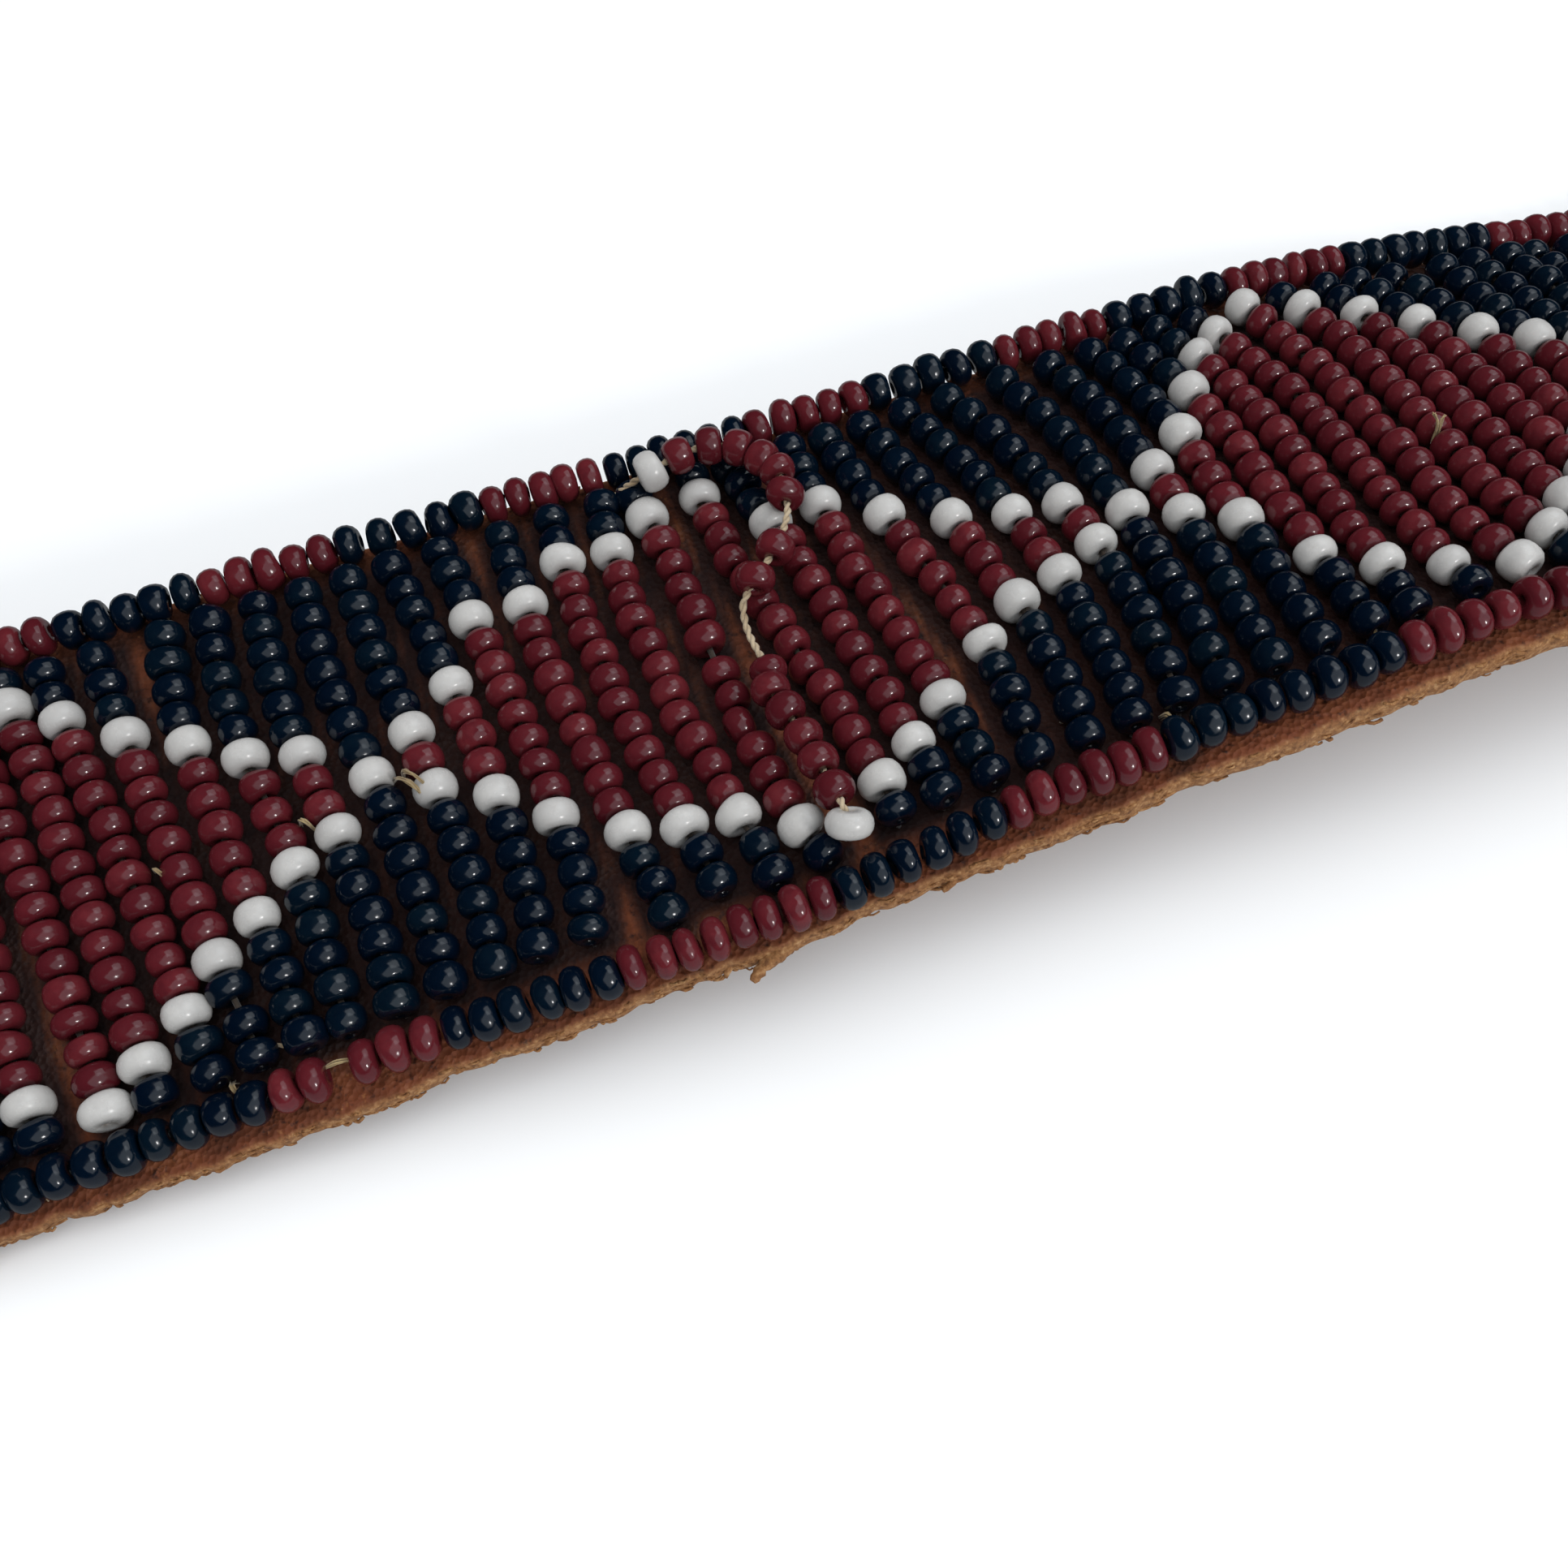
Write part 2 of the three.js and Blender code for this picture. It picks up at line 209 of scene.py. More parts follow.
def strap_outline():
    """The strip's section as (share across, millimetres in from the edge, height, raw edge)."""
    outline = []
    deep = leather_thickness / 2
    for share in np.linspace(0.97, -0.97, 20):
        outline.append((share, 0.0, deep, 0.0))
    for inset, height, raw in cut_face:
        outline.append((-1.0, inset, height * deep, raw))
    for share in np.linspace(-0.97, 0.97, 12):
        outline.append((share, 0.0, -deep, 0.5))
    for inset, height, raw in cut_face[::-1]:
        outline.append((1.0, inset, height * deep, raw))
    return np.array(outline)


def waver(x, size, seed):
    """Slow uneven wandering of a hand-cut edge."""
    return np.array([noise.noise(Vector((v / size, seed, 0.5))) for v in np.atleast_1d(x)])


Wander = namedtuple("Wander", "depth size seed")
far_wanders = [Wander(0.22, 7.0, 8.3), Wander(0.1, 1.6, 9.7)]
near_wanders = [Wander(0.3, 7.0, 1.3), Wander(0.3, 1.9, 4.1), Wander(0.14, 0.8, 6.2)]
near_trim = 0.6
trim_reach = 60.0


def edge_cut(x, side):
    """How far in a long edge is cut. The near one is cut further in beside the loose column."""
    x = np.atleast_1d(x)
    wanders = near_wanders if side < 0 else far_wanders
    cut = sum(wander.depth * waver(x, wander.size, wander.seed) for wander in wanders)
    if side < 0:
        cut = cut + near_trim * np.clip(2 - abs(x - loose_x) / trim_reach, 0, 1)
    return cut


fold_step = 1.5
plain_step = 3.0
fine_step = 0.4
tip_turn = math.radians(83)
nap_depth = 0.1
nap_rise = 0.05
least_half = 0.3
least_offset = 0.05


def make_strap():
    """The whole strip: turned back below, round the bar, and along to the tip."""
    runs = [
        np.arange(bar_x, bar_x + fold_taper, fold_step),
        np.arange(bar_x + fold_taper, fine_start, plain_step),
        np.arange(fine_start, fine_end, fine_step),
        np.arange(fine_end, tip_x - tip_length, plain_step),
    ]
    xs = np.concatenate(runs)
    halves = np.full(len(xs), half_width)
    sweep = np.linspace(0.0, tip_turn, 16)
    xs = np.append(xs, tip_x - tip_length + tip_length * np.sin(sweep) / np.sin(sweep[-1]))
    halves = np.append(halves, half_width * np.cos(sweep))
    middles = on_belt(xs, 0.0, leather_thickness / 2)
    _, sides, ups = lay_axes(xs)
    turned = np.linspace(0.0, math.pi, 14)[:-1]
    under_xs = np.linspace(bar_x + fold_length, bar_x, 8)[:-1]
    zero = np.zeros(len(under_xs))
    under = np.stack([under_xs, zero, zero + leather_thickness / 2], -1)
    bend_up = np.stack([-np.sin(turned), 0 * turned, -np.cos(turned)], -1)
    bend = np.array([bar_x, 0.0, bar_height]) + bend_up * fold_radius
    level = np.array([0.0, 1.0, 0.0])
    folded = len(under) + len(bend)
    middles = np.concatenate([under, bend, middles])
    sides = np.concatenate([np.tile(level, (folded, 1)), sides])
    down = np.tile([0.0, 0.0, -1.0], (len(under), 1))
    ups = np.concatenate([down, bend_up, ups])
    halves = np.append(np.full(folded, half_width), halves)
    reach = np.append(np.full(folded, bar_x), xs)
    outline = strap_outline()
    points = np.zeros((len(middles), len(outline), 3))
    near_edge, far_edge = edge_cut(reach, -1), edge_cut(reach, 1)
    # The cut's wander fades quickly inwards, and each line of the raw face is napped by itself.
    for index, (share, inset, height, raw) in enumerate(outline):
        edge = np.where(share < 0, near_edge, far_edge) * abs(share) ** 6
        width = np.maximum(halves - edge, least_half) * abs(share) - inset
        rough = raw * nap_depth * waver(reach + 37.0 * index, 0.7, 2.0 + height)
        offset = np.sign(share) * np.maximum(width + rough, least_offset) if share else 0 * width
        rise = height + raw * nap_rise * waver(reach + 11.0 * index, 0.9, 5.0)
        points[:, index] = middles + sides * offset[:, None] + ups * rise[:, None]
    count, around = points.shape[:2]
    faces = ring_faces(count, around)[:, ::-1]
    caps = end_faces(0, around, False) + end_faces((count - 1) * around, around, True)
    faces = np.concatenate([faces, np.array(caps)])
    raw_marks = np.tile(outline[:, 3], count)
    return make_mesh("strap_leather", points, faces, {"raw_edge": raw_marks})


punch_bottom = -3.0
punch_top = 12.0


def make_punch():
    """The punch for the round holes and the slot, as one mesh."""
    pieces = []
    for index in range(hole_count):
        x = tip_x - last_hole_from_tip - index * hole_spacing
        angles = np.linspace(0, 2 * math.pi, 33)[:-1]
        ring = np.stack([x + hole_diameter / 2 * np.cos(angles), hole_diameter / 2 * np.sin(angles)], -1)
        pieces.append(ring)
    turn = np.linspace(-math.pi / 2, math.pi / 2, 15)
    back = bar_x + slot_length - slot_half
    front = bar_x - fold_radius - leather_thickness
    bend = np.stack([back + slot_half * np.cos(turn), slot_half * np.sin(turn)], -1)
    pieces.append(np.concatenate([[[front, -slot_half]], bend, [[front, slot_half]]]))
    mesh = bpy.data.meshes.new("punch")
    points, faces = [], []
    for outline in pieces:
        first, count = len(points), len(outline)
        points += [(a * MM, b * MM, punch_bottom * MM) for a, b in outline]
        points += [(a * MM, b * MM, punch_top * MM) for a, b in outline]
        faces.append([first + k for k in range(count)][::-1])
        faces.append([first + count + k for k in range(count)])
        for k in range(count):
            after = (k + 1) % count
            faces.append([first + k, first + after, first + count + after, first + count + k])
    mesh.from_pydata(points, [], faces)
    return bpy.data.objects.new("punch", mesh)


strap = make_strap()
punch = make_punch()
bpy.context.scene.collection.objects.link(punch)
cut = strap.modifiers.new("punched", "BOOLEAN")
cut.operation = "DIFFERENCE"
cut.solver = "EXACT"
cut.object = punch
bpy.context.view_layer.objects.active = strap
bpy.ops.object.modifier_apply(modifier="punched")
bpy.data.objects.remove(punch)


def new_material(name):
    """A new material, its node tree and its surface shader."""
    material = bpy.data.materials.new(name)
    material.use_nodes = True
    tree = material.node_tree
    return material, tree, tree.nodes["Principled BSDF"]


def add_node(tree, kind, settings=None, **values):
    """A node with its settings, and its inputs set or linked by name, or by number as i0."""
    node = tree.nodes.new(kind)
    for key, value in (settings or {}).items():
        setattr(node, key, value)
    for key, value in values.items():
        socket = node.inputs[int(key[1:])] if key[1:].isdigit() else node.inputs[key.replace("_", " ")]
        if isinstance(value, bpy.types.NodeSocket):
            tree.links.new(value, socket)
        else:
            socket.default_value = value
    return node


def ramp(tree, value, stops):
    """A colour ramp from (place, colour) stops."""
    node = add_node(tree, "ShaderNodeValToRGB", Fac=value)
    elements = node.color_ramp.elements
    while len(elements) < len(stops):
        elements.new(0.5)
    for element, (place, colour) in zip(elements, stops):
        element.position = place
        element.color = (*colour, 1.0)
    return node.outputs["Color"]


def mottle_group():
    """Blotches that leather, glass, brass and thread all show, each at its own size."""
    group = bpy.data.node_groups.new("mottle", "ShaderNodeTree")
    for name in ("Scale", "Low", "High"):
        group.interface.new_socket(name=name, in_out="INPUT", socket_type="NodeSocketFloat")
    group.interface.new_socket(name="Mask", in_out="OUTPUT", socket_type="NodeSocketFloat")
    inside = group.nodes.new("NodeGroupInput")
    outside = group.nodes.new("NodeGroupOutput")
    place = group.nodes.new("ShaderNodeTexCoord").outputs["Object"]
    cloud = add_node(group, "ShaderNodeTexNoise", Vector=place, Scale=inside.outputs["Scale"],
                     Detail=5.0, Roughness=0.62)
    spread = add_node(group, "ShaderNodeMapRange", Value=cloud.outputs["Fac"],
                      From_Min=inside.outputs["Low"], From_Max=inside.outputs["High"])
    group.links.new(spread.outputs["Result"], outside.inputs["Mask"])
    return group


mottle = mottle_group()


def add_mottle(tree, scale, low, high):
    node = tree.nodes.new("ShaderNodeGroup")
    node.node_tree = mottle
    node.inputs["Scale"].default_value = scale
    node.inputs["Low"].default_value = low
    node.inputs["High"].default_value = high
    return node.outputs["Mask"]


def mix_colour(tree, factor, first, second):
    """The first colour, giving way to the second as the factor goes from 0 to 1."""
    node = add_node(tree, "ShaderNodeMix", {"data_type": "RGBA"}, i0=factor)
    for socket, value in ((node.inputs[6], first), (node.inputs[7], second)):
        if isinstance(value, bpy.types.NodeSocket):
            tree.links.new(value, socket)
        else:
            socket.default_value = (*value, 1.0)
    return node.outputs[2]


def read_mark(tree, mark):
    """The value that a mesh's points hold under the mark's name."""
    return add_node(tree, "ShaderNodeAttribute", {"attribute_name": mark}).outputs["Fac"]


def set_roughness(tree, shader, mask, low, high):
    """Roughness that goes from low to high with the mask."""
    spread = add_node(tree, "ShaderNodeMapRange", Value=mask, To_Min=low, To_Max=high)
    tree.links.new(spread.outputs["Result"], shader.inputs["Roughness"])


def set_bump(tree, shader, height, strength, distance):
    bump = add_node(tree, "ShaderNodeBump", Strength=strength, Distance=distance, Height=height)
    tree.links.new(bump.outputs["Normal"], shader.inputs["Normal"])


def leather_material():
    """Tanned and worn on the face, with shade painted between the beads, and pale and fibrous where the
    cut has left it raw.
    """
    face_tones = [(0.0, (0.082, 0.024, 0.010)), (0.5, (0.165, 0.043, 0.016)), (1.0, (0.25, 0.078, 0.029))]
    raw_tones = [(0.0, (0.13, 0.050, 0.018)), (0.55, (0.33, 0.15, 0.054)), (1.0, (0.52, 0.30, 0.135))]
    dark_speck = (0.02, 0.008, 0.006)
    worn_speck = (0.30, 0.115, 0.04)
    # Painted shade: the colour of the leather between the beads.
    painted_gap_shade = (0.015, 0.0080, 0.0085)
    material, tree, shader = new_material("tan_leather")
    blotches = add_mottle(tree, 260.0, 0.34, 0.68)
    face = ramp(tree, blotches, face_tones)
    specks = add_mottle(tree, 1900.0, 0.55, 0.72)
    face = mix_colour(tree, specks, face, dark_speck)
    worn_specks = add_mottle(tree, 1300.0, 0.64, 0.74)
    face = mix_colour(tree, worn_specks, face, worn_speck)
    # Shade is painted on the face near the beads.
    grime_and_shade = read_mark(tree, "painted_bead_shade")
    face = mix_colour(tree, grime_and_shade, face, painted_gap_shade)
    fibres = add_mottle(tree, 2600.0, 0.3, 0.7)
    raw_face = ramp(tree, fibres, raw_tones)
    raw = read_mark(tree, "raw_edge")
    place = tree.nodes.new("ShaderNodeTexCoord").outputs["Object"]
    colour = mix_colour(tree, raw, face, raw_face)
    tree.links.new(colour, shader.inputs["Base Color"])
    grain = add_node(tree, "ShaderNodeTexVoronoi", {"feature": "F1"}, Vector=place, Scale=2400.0)
    nap = add_node(tree, "ShaderNodeTexNoise", Vector=place, Scale=3800.0, Detail=6.0, Roughness=0.7)
    height = add_node(tree, "ShaderNodeMix", {"data_type": "FLOAT"}, i0=raw,
                      i2=grain.outputs["Distance"], i3=nap.outputs["Fac"])
    set_bump(tree, shader, height.outputs[0], strength=0.75, distance=0.00025)
    set_roughness(tree, shader, blotches, low=0.85, high=0.58)
    shader.inputs["Specular IOR Level"].default_value = 0.35
    return material


leather = leather_material()
strap.data.materials.append(leather)
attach(strap, "root")
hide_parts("strap")

# The knife left the long edges frayed. Short fibres of the leather stand out of the cut, most of
# them at the near edge, and a few thicker strands have torn loose there.
fray = np.random.default_rng(5)
fibre_counts = {-1: 460, 1: 160}
fibre_sides = 5
strand_sides = 8

# Torn strands in places from the loose column, out from the edge and above the underside.
TornStrand = namedtuple("TornStrand", "radius points")
torn_strands = [
    TornStrand(0.5, [(-3.4, -0.4, 1.1), (-4.8, -0.1, 1.0), (-6.0, 0.3, 0.9), (-7.2, 1.1, 0.7)]),
    TornStrand(0.42, [(-4.4, -0.3, 0.8), (-5.6, 0.0, 0.7), (-6.9, 0.8, 0.6)]),
    TornStrand(0.28, [(-7.9, -0.4, 0.9), (-8.4, 0.1, 0.8), (-8.7, 0.5, 0.7)]),
    TornStrand(0.26, [(7.2, -0.3, 0.9), (6.7, 0.2, 0.8), (6.0, 0.5, 0.7)]),
]


def smooth_way(points, step):
    """Points at even steps along a smooth curve through a few."""
    points = np.asarray(points, float)
    ends = [2 * points[0] - points[1]], [2 * points[-1] - points[-2]]
    p = np.concatenate([ends[0], points, ends[1]])
    way = []
    for index in range(1, len(p) - 2):
        a, b, c, d = p[index - 1:index + 3]
        for t in np.linspace(0, 1, 24, endpoint=False):
            square = (2 * a - 5 * b + 4 * c - d) * t**2
            cube = (3 * b - a - 3 * c + d) * t**3
            way.append(0.5 * (2 * b + (c - a) * t + square + cube))
    way.append(points[-1])
    way = np.array(way)
    walked = np.append(0, np.cumsum(np.linalg.norm(np.diff(way, axis=0), axis=1)))
    places = np.linspace(0, walked[-1], max(int(walked[-1] / step), 2) + 1)
    return np.stack([np.interp(places, walked, way[:, k]) for k in range(3)], -1), places


def way_frames(way):
    """Two directions square to the way at each of its points."""
    ahead = np.gradient(way, axis=0)
    ahead /= np.linalg.norm(ahead, axis=1)[:, None]
    unlike_any_way = [0.13, 0.21, 0.97]
    first = np.cross(ahead, unlike_any_way)
    first /= np.linalg.norm(first, axis=1)[:, None]
    return first, np.cross(ahead, first)


def tube_mesh(way, radii, sides):
    """Points and faces of a closed round tube along the way."""
    first, second = way_frames(way)
    angles = np.linspace(0, 2 * math.pi, sides + 1)[:-1]
    cosines, sines = np.cos(angles)[None, :, None], np.sin(angles)[None, :, None]
    rings = first[:, None] * cosines + second[:, None] * sines
    radii = np.broadcast_to(radii, len(way))
    points = way[:, None] + rings * radii[:, None, None]
    count = len(way)
    caps = end_faces(0, sides, True) + end_faces((count - 1) * sides, sides, False)
    faces = np.concatenate([ring_faces(count, sides), np.array(caps)])
    return points.reshape(-1, 3), faces


def join_tubes(name, tubes, mark=None):
    """One object of many tubes, with the value 1 in the named mark."""
    points, faces, first = [], [], 0
    for tube_points, tube_faces in tubes:
        points.append(tube_points)
        faces.append(tube_faces + first)
        first += len(tube_points)
    marks = {mark: np.ones(first)} if mark else None
    return make_mesh(name, np.concatenate(points), np.concatenate(faces), marks)


def edge_point(x, side, out, height):
    """A point beside a long edge: out from it, and above the underside."""
    return on_belt(x, side * (half_width - float(edge_cut(x, side)[0]) + out), height)


def fray_fibres():
    tubes = []
    for side, count in fibre_counts.items():
        for x in fray.uniform(fine_start, fine_end, count):
            length = fray.uniform(0.3, 1.1)
            height = fray.uniform(0.15, leather_thickness - 0.1)
            out = fray.uniform(-0.1, 0.08)
            lift = fray.normal(0, 0.1)
            start = edge_point(x, side, -0.12, height)
            middle = edge_point(x + length / 2, side, out + 0.08, height + lift / 2)
            end = edge_point(x + length, side, out * 0.4, height + lift)
            way, _ = smooth_way([start, middle, end], length / 4)
            tubes.append(tube_mesh(way, fray.uniform(0.06, 0.15), fibre_sides))
    for strand in torn_strands:
        points = [edge_point(loose_x + along, -1, out, height) for along, out, height in strand.points]
        way, _ = smooth_way(points, 0.25)
        taper = np.interp(np.linspace(0, 1, len(way)), [0, 0.8, 1], [1.0, 0.85, 0.5])
        radii = strand.radius * taper * fray.uniform(0.75, 1.25, len(way))
        tubes.append(tube_mesh(way, radii, strand_sides))
    return join_tubes("frayed_fibres", tubes, "raw_edge")


fibres = fray_fibres()
fibres.data.materials.append(leather)
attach(fibres, "root")
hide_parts("strap")

# The buckle is a plain cast brass frame with its bar and prong, bright where it is rubbed and
# dull in patches. The strap's turned-back end holds its bar.
sharp_corner = math.radians(38)
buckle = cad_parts["buckle"]
buckle.data.polygons.foreach_set("use_smooth", np.full(len(buckle.data.polygons), True))
buckle.data.set_sharp_from_angle(angle=sharp_corner)


def brass_material():
    bright_brass = (0.50, 0.36, 0.17)
    dull_brass = (0.22, 0.15, 0.075)
    material, tree, shader = new_material("worn_brass")
    tarnish = add_mottle(tree, 180.0, 0.38, 0.7)
    colour = ramp(tree, tarnish, [(0.0, bright_brass), (1.0, dull_brass)])
    tree.links.new(colour, shader.inputs["Base Color"])
    scratches = add_mottle(tree, 1400.0, 0.35, 0.75)
    set_roughness(tree, shader, scratches, low=0.24, high=0.5)
    set_bump(tree, shader, scratches, strength=0.25, distance=0.0001)
    shader.inputs["Metallic"].default_value = 1.0
    return material


buckle.data.materials.clear()
buckle.data.materials.append(brass_material())

# Opaque glass seed beads cover the face in columns, each threaded across the belt and sewn down
# at both ends. Red diamonds are outlined in single white beads on a blue-black ground. The beads
# are drawn glass, cut and tumbled, so no two have quite the same length, roundness or lean.
bead_diameter = 2.9
near_margin = 1.4
far_overhang = 0.6
string_gap = 0.3
column_lean = -0.0857
column_count = 200
beadwork_offset = (near_margin + far_overhang) / 2
lane_offset = half_width - (near_margin - far_overhang) / 2 - bead_diameter / 2
field_half = lane_offset - bead_diameter / 2 - string_gap
bead_rest = 0.2
chance = np.random.default_rng(14)

# The beads get a little smaller from column to column towards the tip, and each is a little
# shorter than its place on the thread.
size_drift = 0.0034
drift_columns = (-16, 22)
length_shares = {"red": 0.92, "dark": 0.95, "white": 0.95}

BeadKind = namedtuple("BeadKind", "diameter length")
bead_kinds = {
    "red": BeadKind(2.7, 2.03),
    "dark": BeadKind(2.72, 2.0),
    "white": BeadKind(3.08, 2.1),
}

# Columns of the photographed stretch, counted from the loose one: dark beads at the far end,
# red ones, dark ones at the near end, and how far the column has crept along the belt at its
# far end, at a third and two thirds of its length, and at its near end.
Column = namedtuple("Column", "far red near creep_far creep_third creep_two_thirds creep_near")
seen_columns = {
    -15: Column(0, 14, 0, -0.9, -0.2, 0.25, 0.7),
    -14: Column(1, 12, 1, -1.2, -0.45, 0.05, 0.6),
    -13: Column(2, 10, 2, -1.5, -0.7, 0.1, 0.8),
    -12: Column(3, 7, 3, -1.1, -0.8, -0.15, 0.65),
    -11: Column(4, 5, 4, 0.1, -0.6, -0.05, 0.25),
    -10: Column(5, 3, 5, 0.0, -0.6, -0.05, -0.2),
    -9: Column(6, 2, 6, 0.1, -0.5, 0.05, -0.1),
    -8: Column(7, 0, 7, 0.0, -0.3, 0.2, -0.2),
    -7: Column(6, 1, 6, -0.1, 0.0, 0.4, -0.2),
    -6: Column(5, 3, 5, -0.2, 0.45, 0.5, -0.5),
    -5: Column(3, 7, 4, 0.1, 0.35, 0.5, -0.5),
    -4: Column(3, 8, 3, 1.1, 0.45, 0.6, 0.9),
    -3: Column(2, 10, 2, 1.5, 0.55, 0.65, 1.3),
    -2: Column(2, 10, 2, 2.0, 0.65, 0.75, 1.4),
    -1: Column(1, 11, 1, 1.1, 1.3, 0.8, 1.25),
    1: Column(1, 12, 1, -1.0, -1.0, 0.0, 0.3),
    2: Column(3, 9, 2, -1.5, -0.5, 0.0, 0.2),
    3: Column(3, 8, 3, -0.1, -0.4, -0.1, 0.1),
    4: Column(4, 5, 4, -0.6, 0.3, 1.1, 0.1),
    5: Column(5, 3, 5, -0.8, 0.7, 1.3, 0.3),
    6: Column(6, 2, 6, -0.8, 1.1, 1.5, 0.2),
    7: Column(6, 1, 6, -0.7, 1.4, 1.7, 0.2),
    8: Column(7, 0, 7, 0.3, 1.6, 1.25, -0.05),
    9: Column(6, 1, 6, 0.9, 1.85, 1.2, -0.1),
    10: Column(5, 3, 5, 0.9, 1.9, 1.05, 0.05),
    11: Column(3, 7, 3, 0.3, 1.6, 0.85, 0.0),
    12: Column(2, 11, 2, -0.2, 1.15, 0.6, -0.5),
    13: Column(1, 13, 1, -0.6, 1.0, 0.6, 0.4),
    14: Column(0, 14, 0, 0.0, 0.95, 0.4, 0.5),
    15: Column(1, 13, 1, 0.0, 0.95, 0.2, 0.5),
    16: Column(2, 11, 2, 0.3, 0.7, 0.0, 0.5),
    17: Column(3, 8, 3, -0.1, 0.6, 0.0, 0.3),
    18: Column(4, 5, 4, -0.2, 0.5, -0.5, 0.0),
    19: Column(5, 3, 5, 0.9, 0.5, 0.0, 0.0),
    20: Column(6, 2, 6, 0.8, 0.5, 0.0, 0.0),
    21: Column(7, 0, 7, 0.6, 0.4, 0.0, 0.0),
}

# Beside the loose column a few columns reach further out at their near ends, in millimetres.
near_reach = {-4: 1.1, -3: 0.2, -2: 1.2, -1: 1.1}

# Beyond the photographed stretch the diamonds go on from a widest column at either side. Half a
# diamond is given as dark, red and dark beads, from its widest column to its narrowest.
diamond_pitch = 14
last_widest = {"buckle side": -15, "tip side": 28}
half_diamond = [(0, 14, 0), (1, 12, 1), (2, 10, 2), (3, 7, 3), (4, 5, 4), (5, 3, 5), (6, 2, 6), (7, 0, 7)]
unseen_creep = 0.5
fine_columns = range(loose_column - 18, loose_column + 25)


def column_beads(column):
    """The kinds of bead in a column from its far end, and its four creeps."""
    step = column - loose_column
    if step in seen_columns:
        row = seen_columns[step]
    else:
        widest = last_widest["buckle side" if step < 0 else "tip side"]
        half_pitch = diamond_pitch // 2
        from_widest = abs((step - widest + half_pitch) % diamond_pitch - half_pitch)
        row = Column(*half_diamond[from_widest], *chance.uniform(-unseen_creep, unseen_creep, 4))
    reds = ["white"] + ["red"] * row.red + ["white"] if row.red else ["white"]
    kinds = ["dark"] * row.far + reds + ["dark"] * row.near
    return kinds, row[3:]


class BeadList:
    """Beads of one kind waiting to be made into one mesh."""

    def __init__(self):
        self.middles, self.axes, self.sizes = [], [], []

    def add(self, middle, axis, length, diameter):
        self.middles.append(middle)
        self.axes.append(axis / np.linalg.norm(axis))
        self.sizes.append((length, diameter))


# Shares of a bead's radius: its flat rim, its hole and the soiled ring beside that. The hole's wall
# is a share of half its length, and the last pair says how barrel-like and how round a bead can be.
bead_rim = 0.32
bead_hole = 0.18
hole_wall = 0.6
soiled_rim = 0.1
barrel_and_round = (0.5, 0.95)


def bead_shape(sides, outer, inner):
    """A bead's points along its hole, out from it and round it, both barrel-like and round."""
    turns = np.radians(np.linspace(-90, 90, outer))
    walls = np.linspace(hole_wall, -hole_wall, inner) if inner > 1 else np.zeros(1)
    along = np.append(np.sin(turns), walls)
    outs = []
    for bulge in barrel_and_round:
        outside = bead_rim + (1 - bead_rim) * np.clip(np.cos(turns), 0, 1) ** bulge
        outs.append(np.append(outside, np.full(inner, bead_hole)))
    angles = np.linspace(0, 2 * math.pi, sides + 1)[:-1]
    count = len(along)
    ring, side = np.meshgrid(np.arange(count), np.arange(sides), indexing="ij")
    after_ring, after_side = (ring + 1) % count, (side + 1) % sides
    quads = [ring * sides + side, after_ring * sides + side]
    quads += [after_ring * sides + after_side, ring * sides + after_side]
    faces = np.stack(quads, -1).reshape(-1, 4)
    in_hole = np.clip(1 - (outs[1] - bead_hole) / soiled_rim, 0, 1)
    shape = (np.repeat(along, sides), np.repeat(outs, sides, 1), np.tile(angles, count))
    return shape, faces, np.repeat(in_hole, sides)


fine_bead = bead_shape(22, 9, 2)
plain_bead = bead_shape(10, 5, 1)


def make_beads(name, beads, shape, kind, nodes):
    """One mesh of all the beads in a list, each a little oval, wedge-cut and turned."""
    (along, outs, angle), faces, in_hole = shape
    count = len(beads.middles)
    roundest = 0.7 if kind == "white" else 1.0
    roundness = chance.uniform(0.1, roundest, (count, 1))
    out = outs[0] + (outs[1] - outs[0]) * roundness
    middles = np.array(beads.middles)[:, None]
    axes = np.array(beads.axes)
    sizes = np.array(beads.sizes) / 2
    first = np.cross(axes, [0.3, 0.1, 0.95])
    first /= np.linalg.norm(first, axis=1)[:, None]
    second = np.cross(axes, first)
    spin = chance.uniform(0, 2 * math.pi, (count, 1))
    wedge = chance.normal(0, 0.07, (count, 1))
    oval = chance.normal(0, 0.022, (count, 1))
    lump = chance.normal(0, 0.012, (count, 1))
    lengths = along * sizes[:, :1] * (1 + wedge * np.cos(angle))
    reach = out * sizes[:, 1:] * (1 + oval * np.cos(2 * angle) + lump * np.cos(3 * angle + 1))
    turned = angle + spin
    cosines, sines = np.cos(turned)[..., None], np.sin(turned)[..., None]
    round_part = first[:, None] * cosines + second[:, None] * sines
    points = middles + axes[:, None] * lengths[..., None] + round_part * reach[..., None]
    per_bead = len(angle)
    all_faces = (faces[None] + (np.arange(count) * per_bead)[:, None, None]).reshape(-1, 4)
    tones = np.repeat(chance.uniform(0, 1, count), per_bead)
    marks = {"bead_tone": tones, "in_hole": np.tile(in_hole, count)}
    piece = make_mesh(name, points, all_faces, marks)
    piece.data.materials.append(glass[kind])
    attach(piece, "root")
    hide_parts(*nodes)


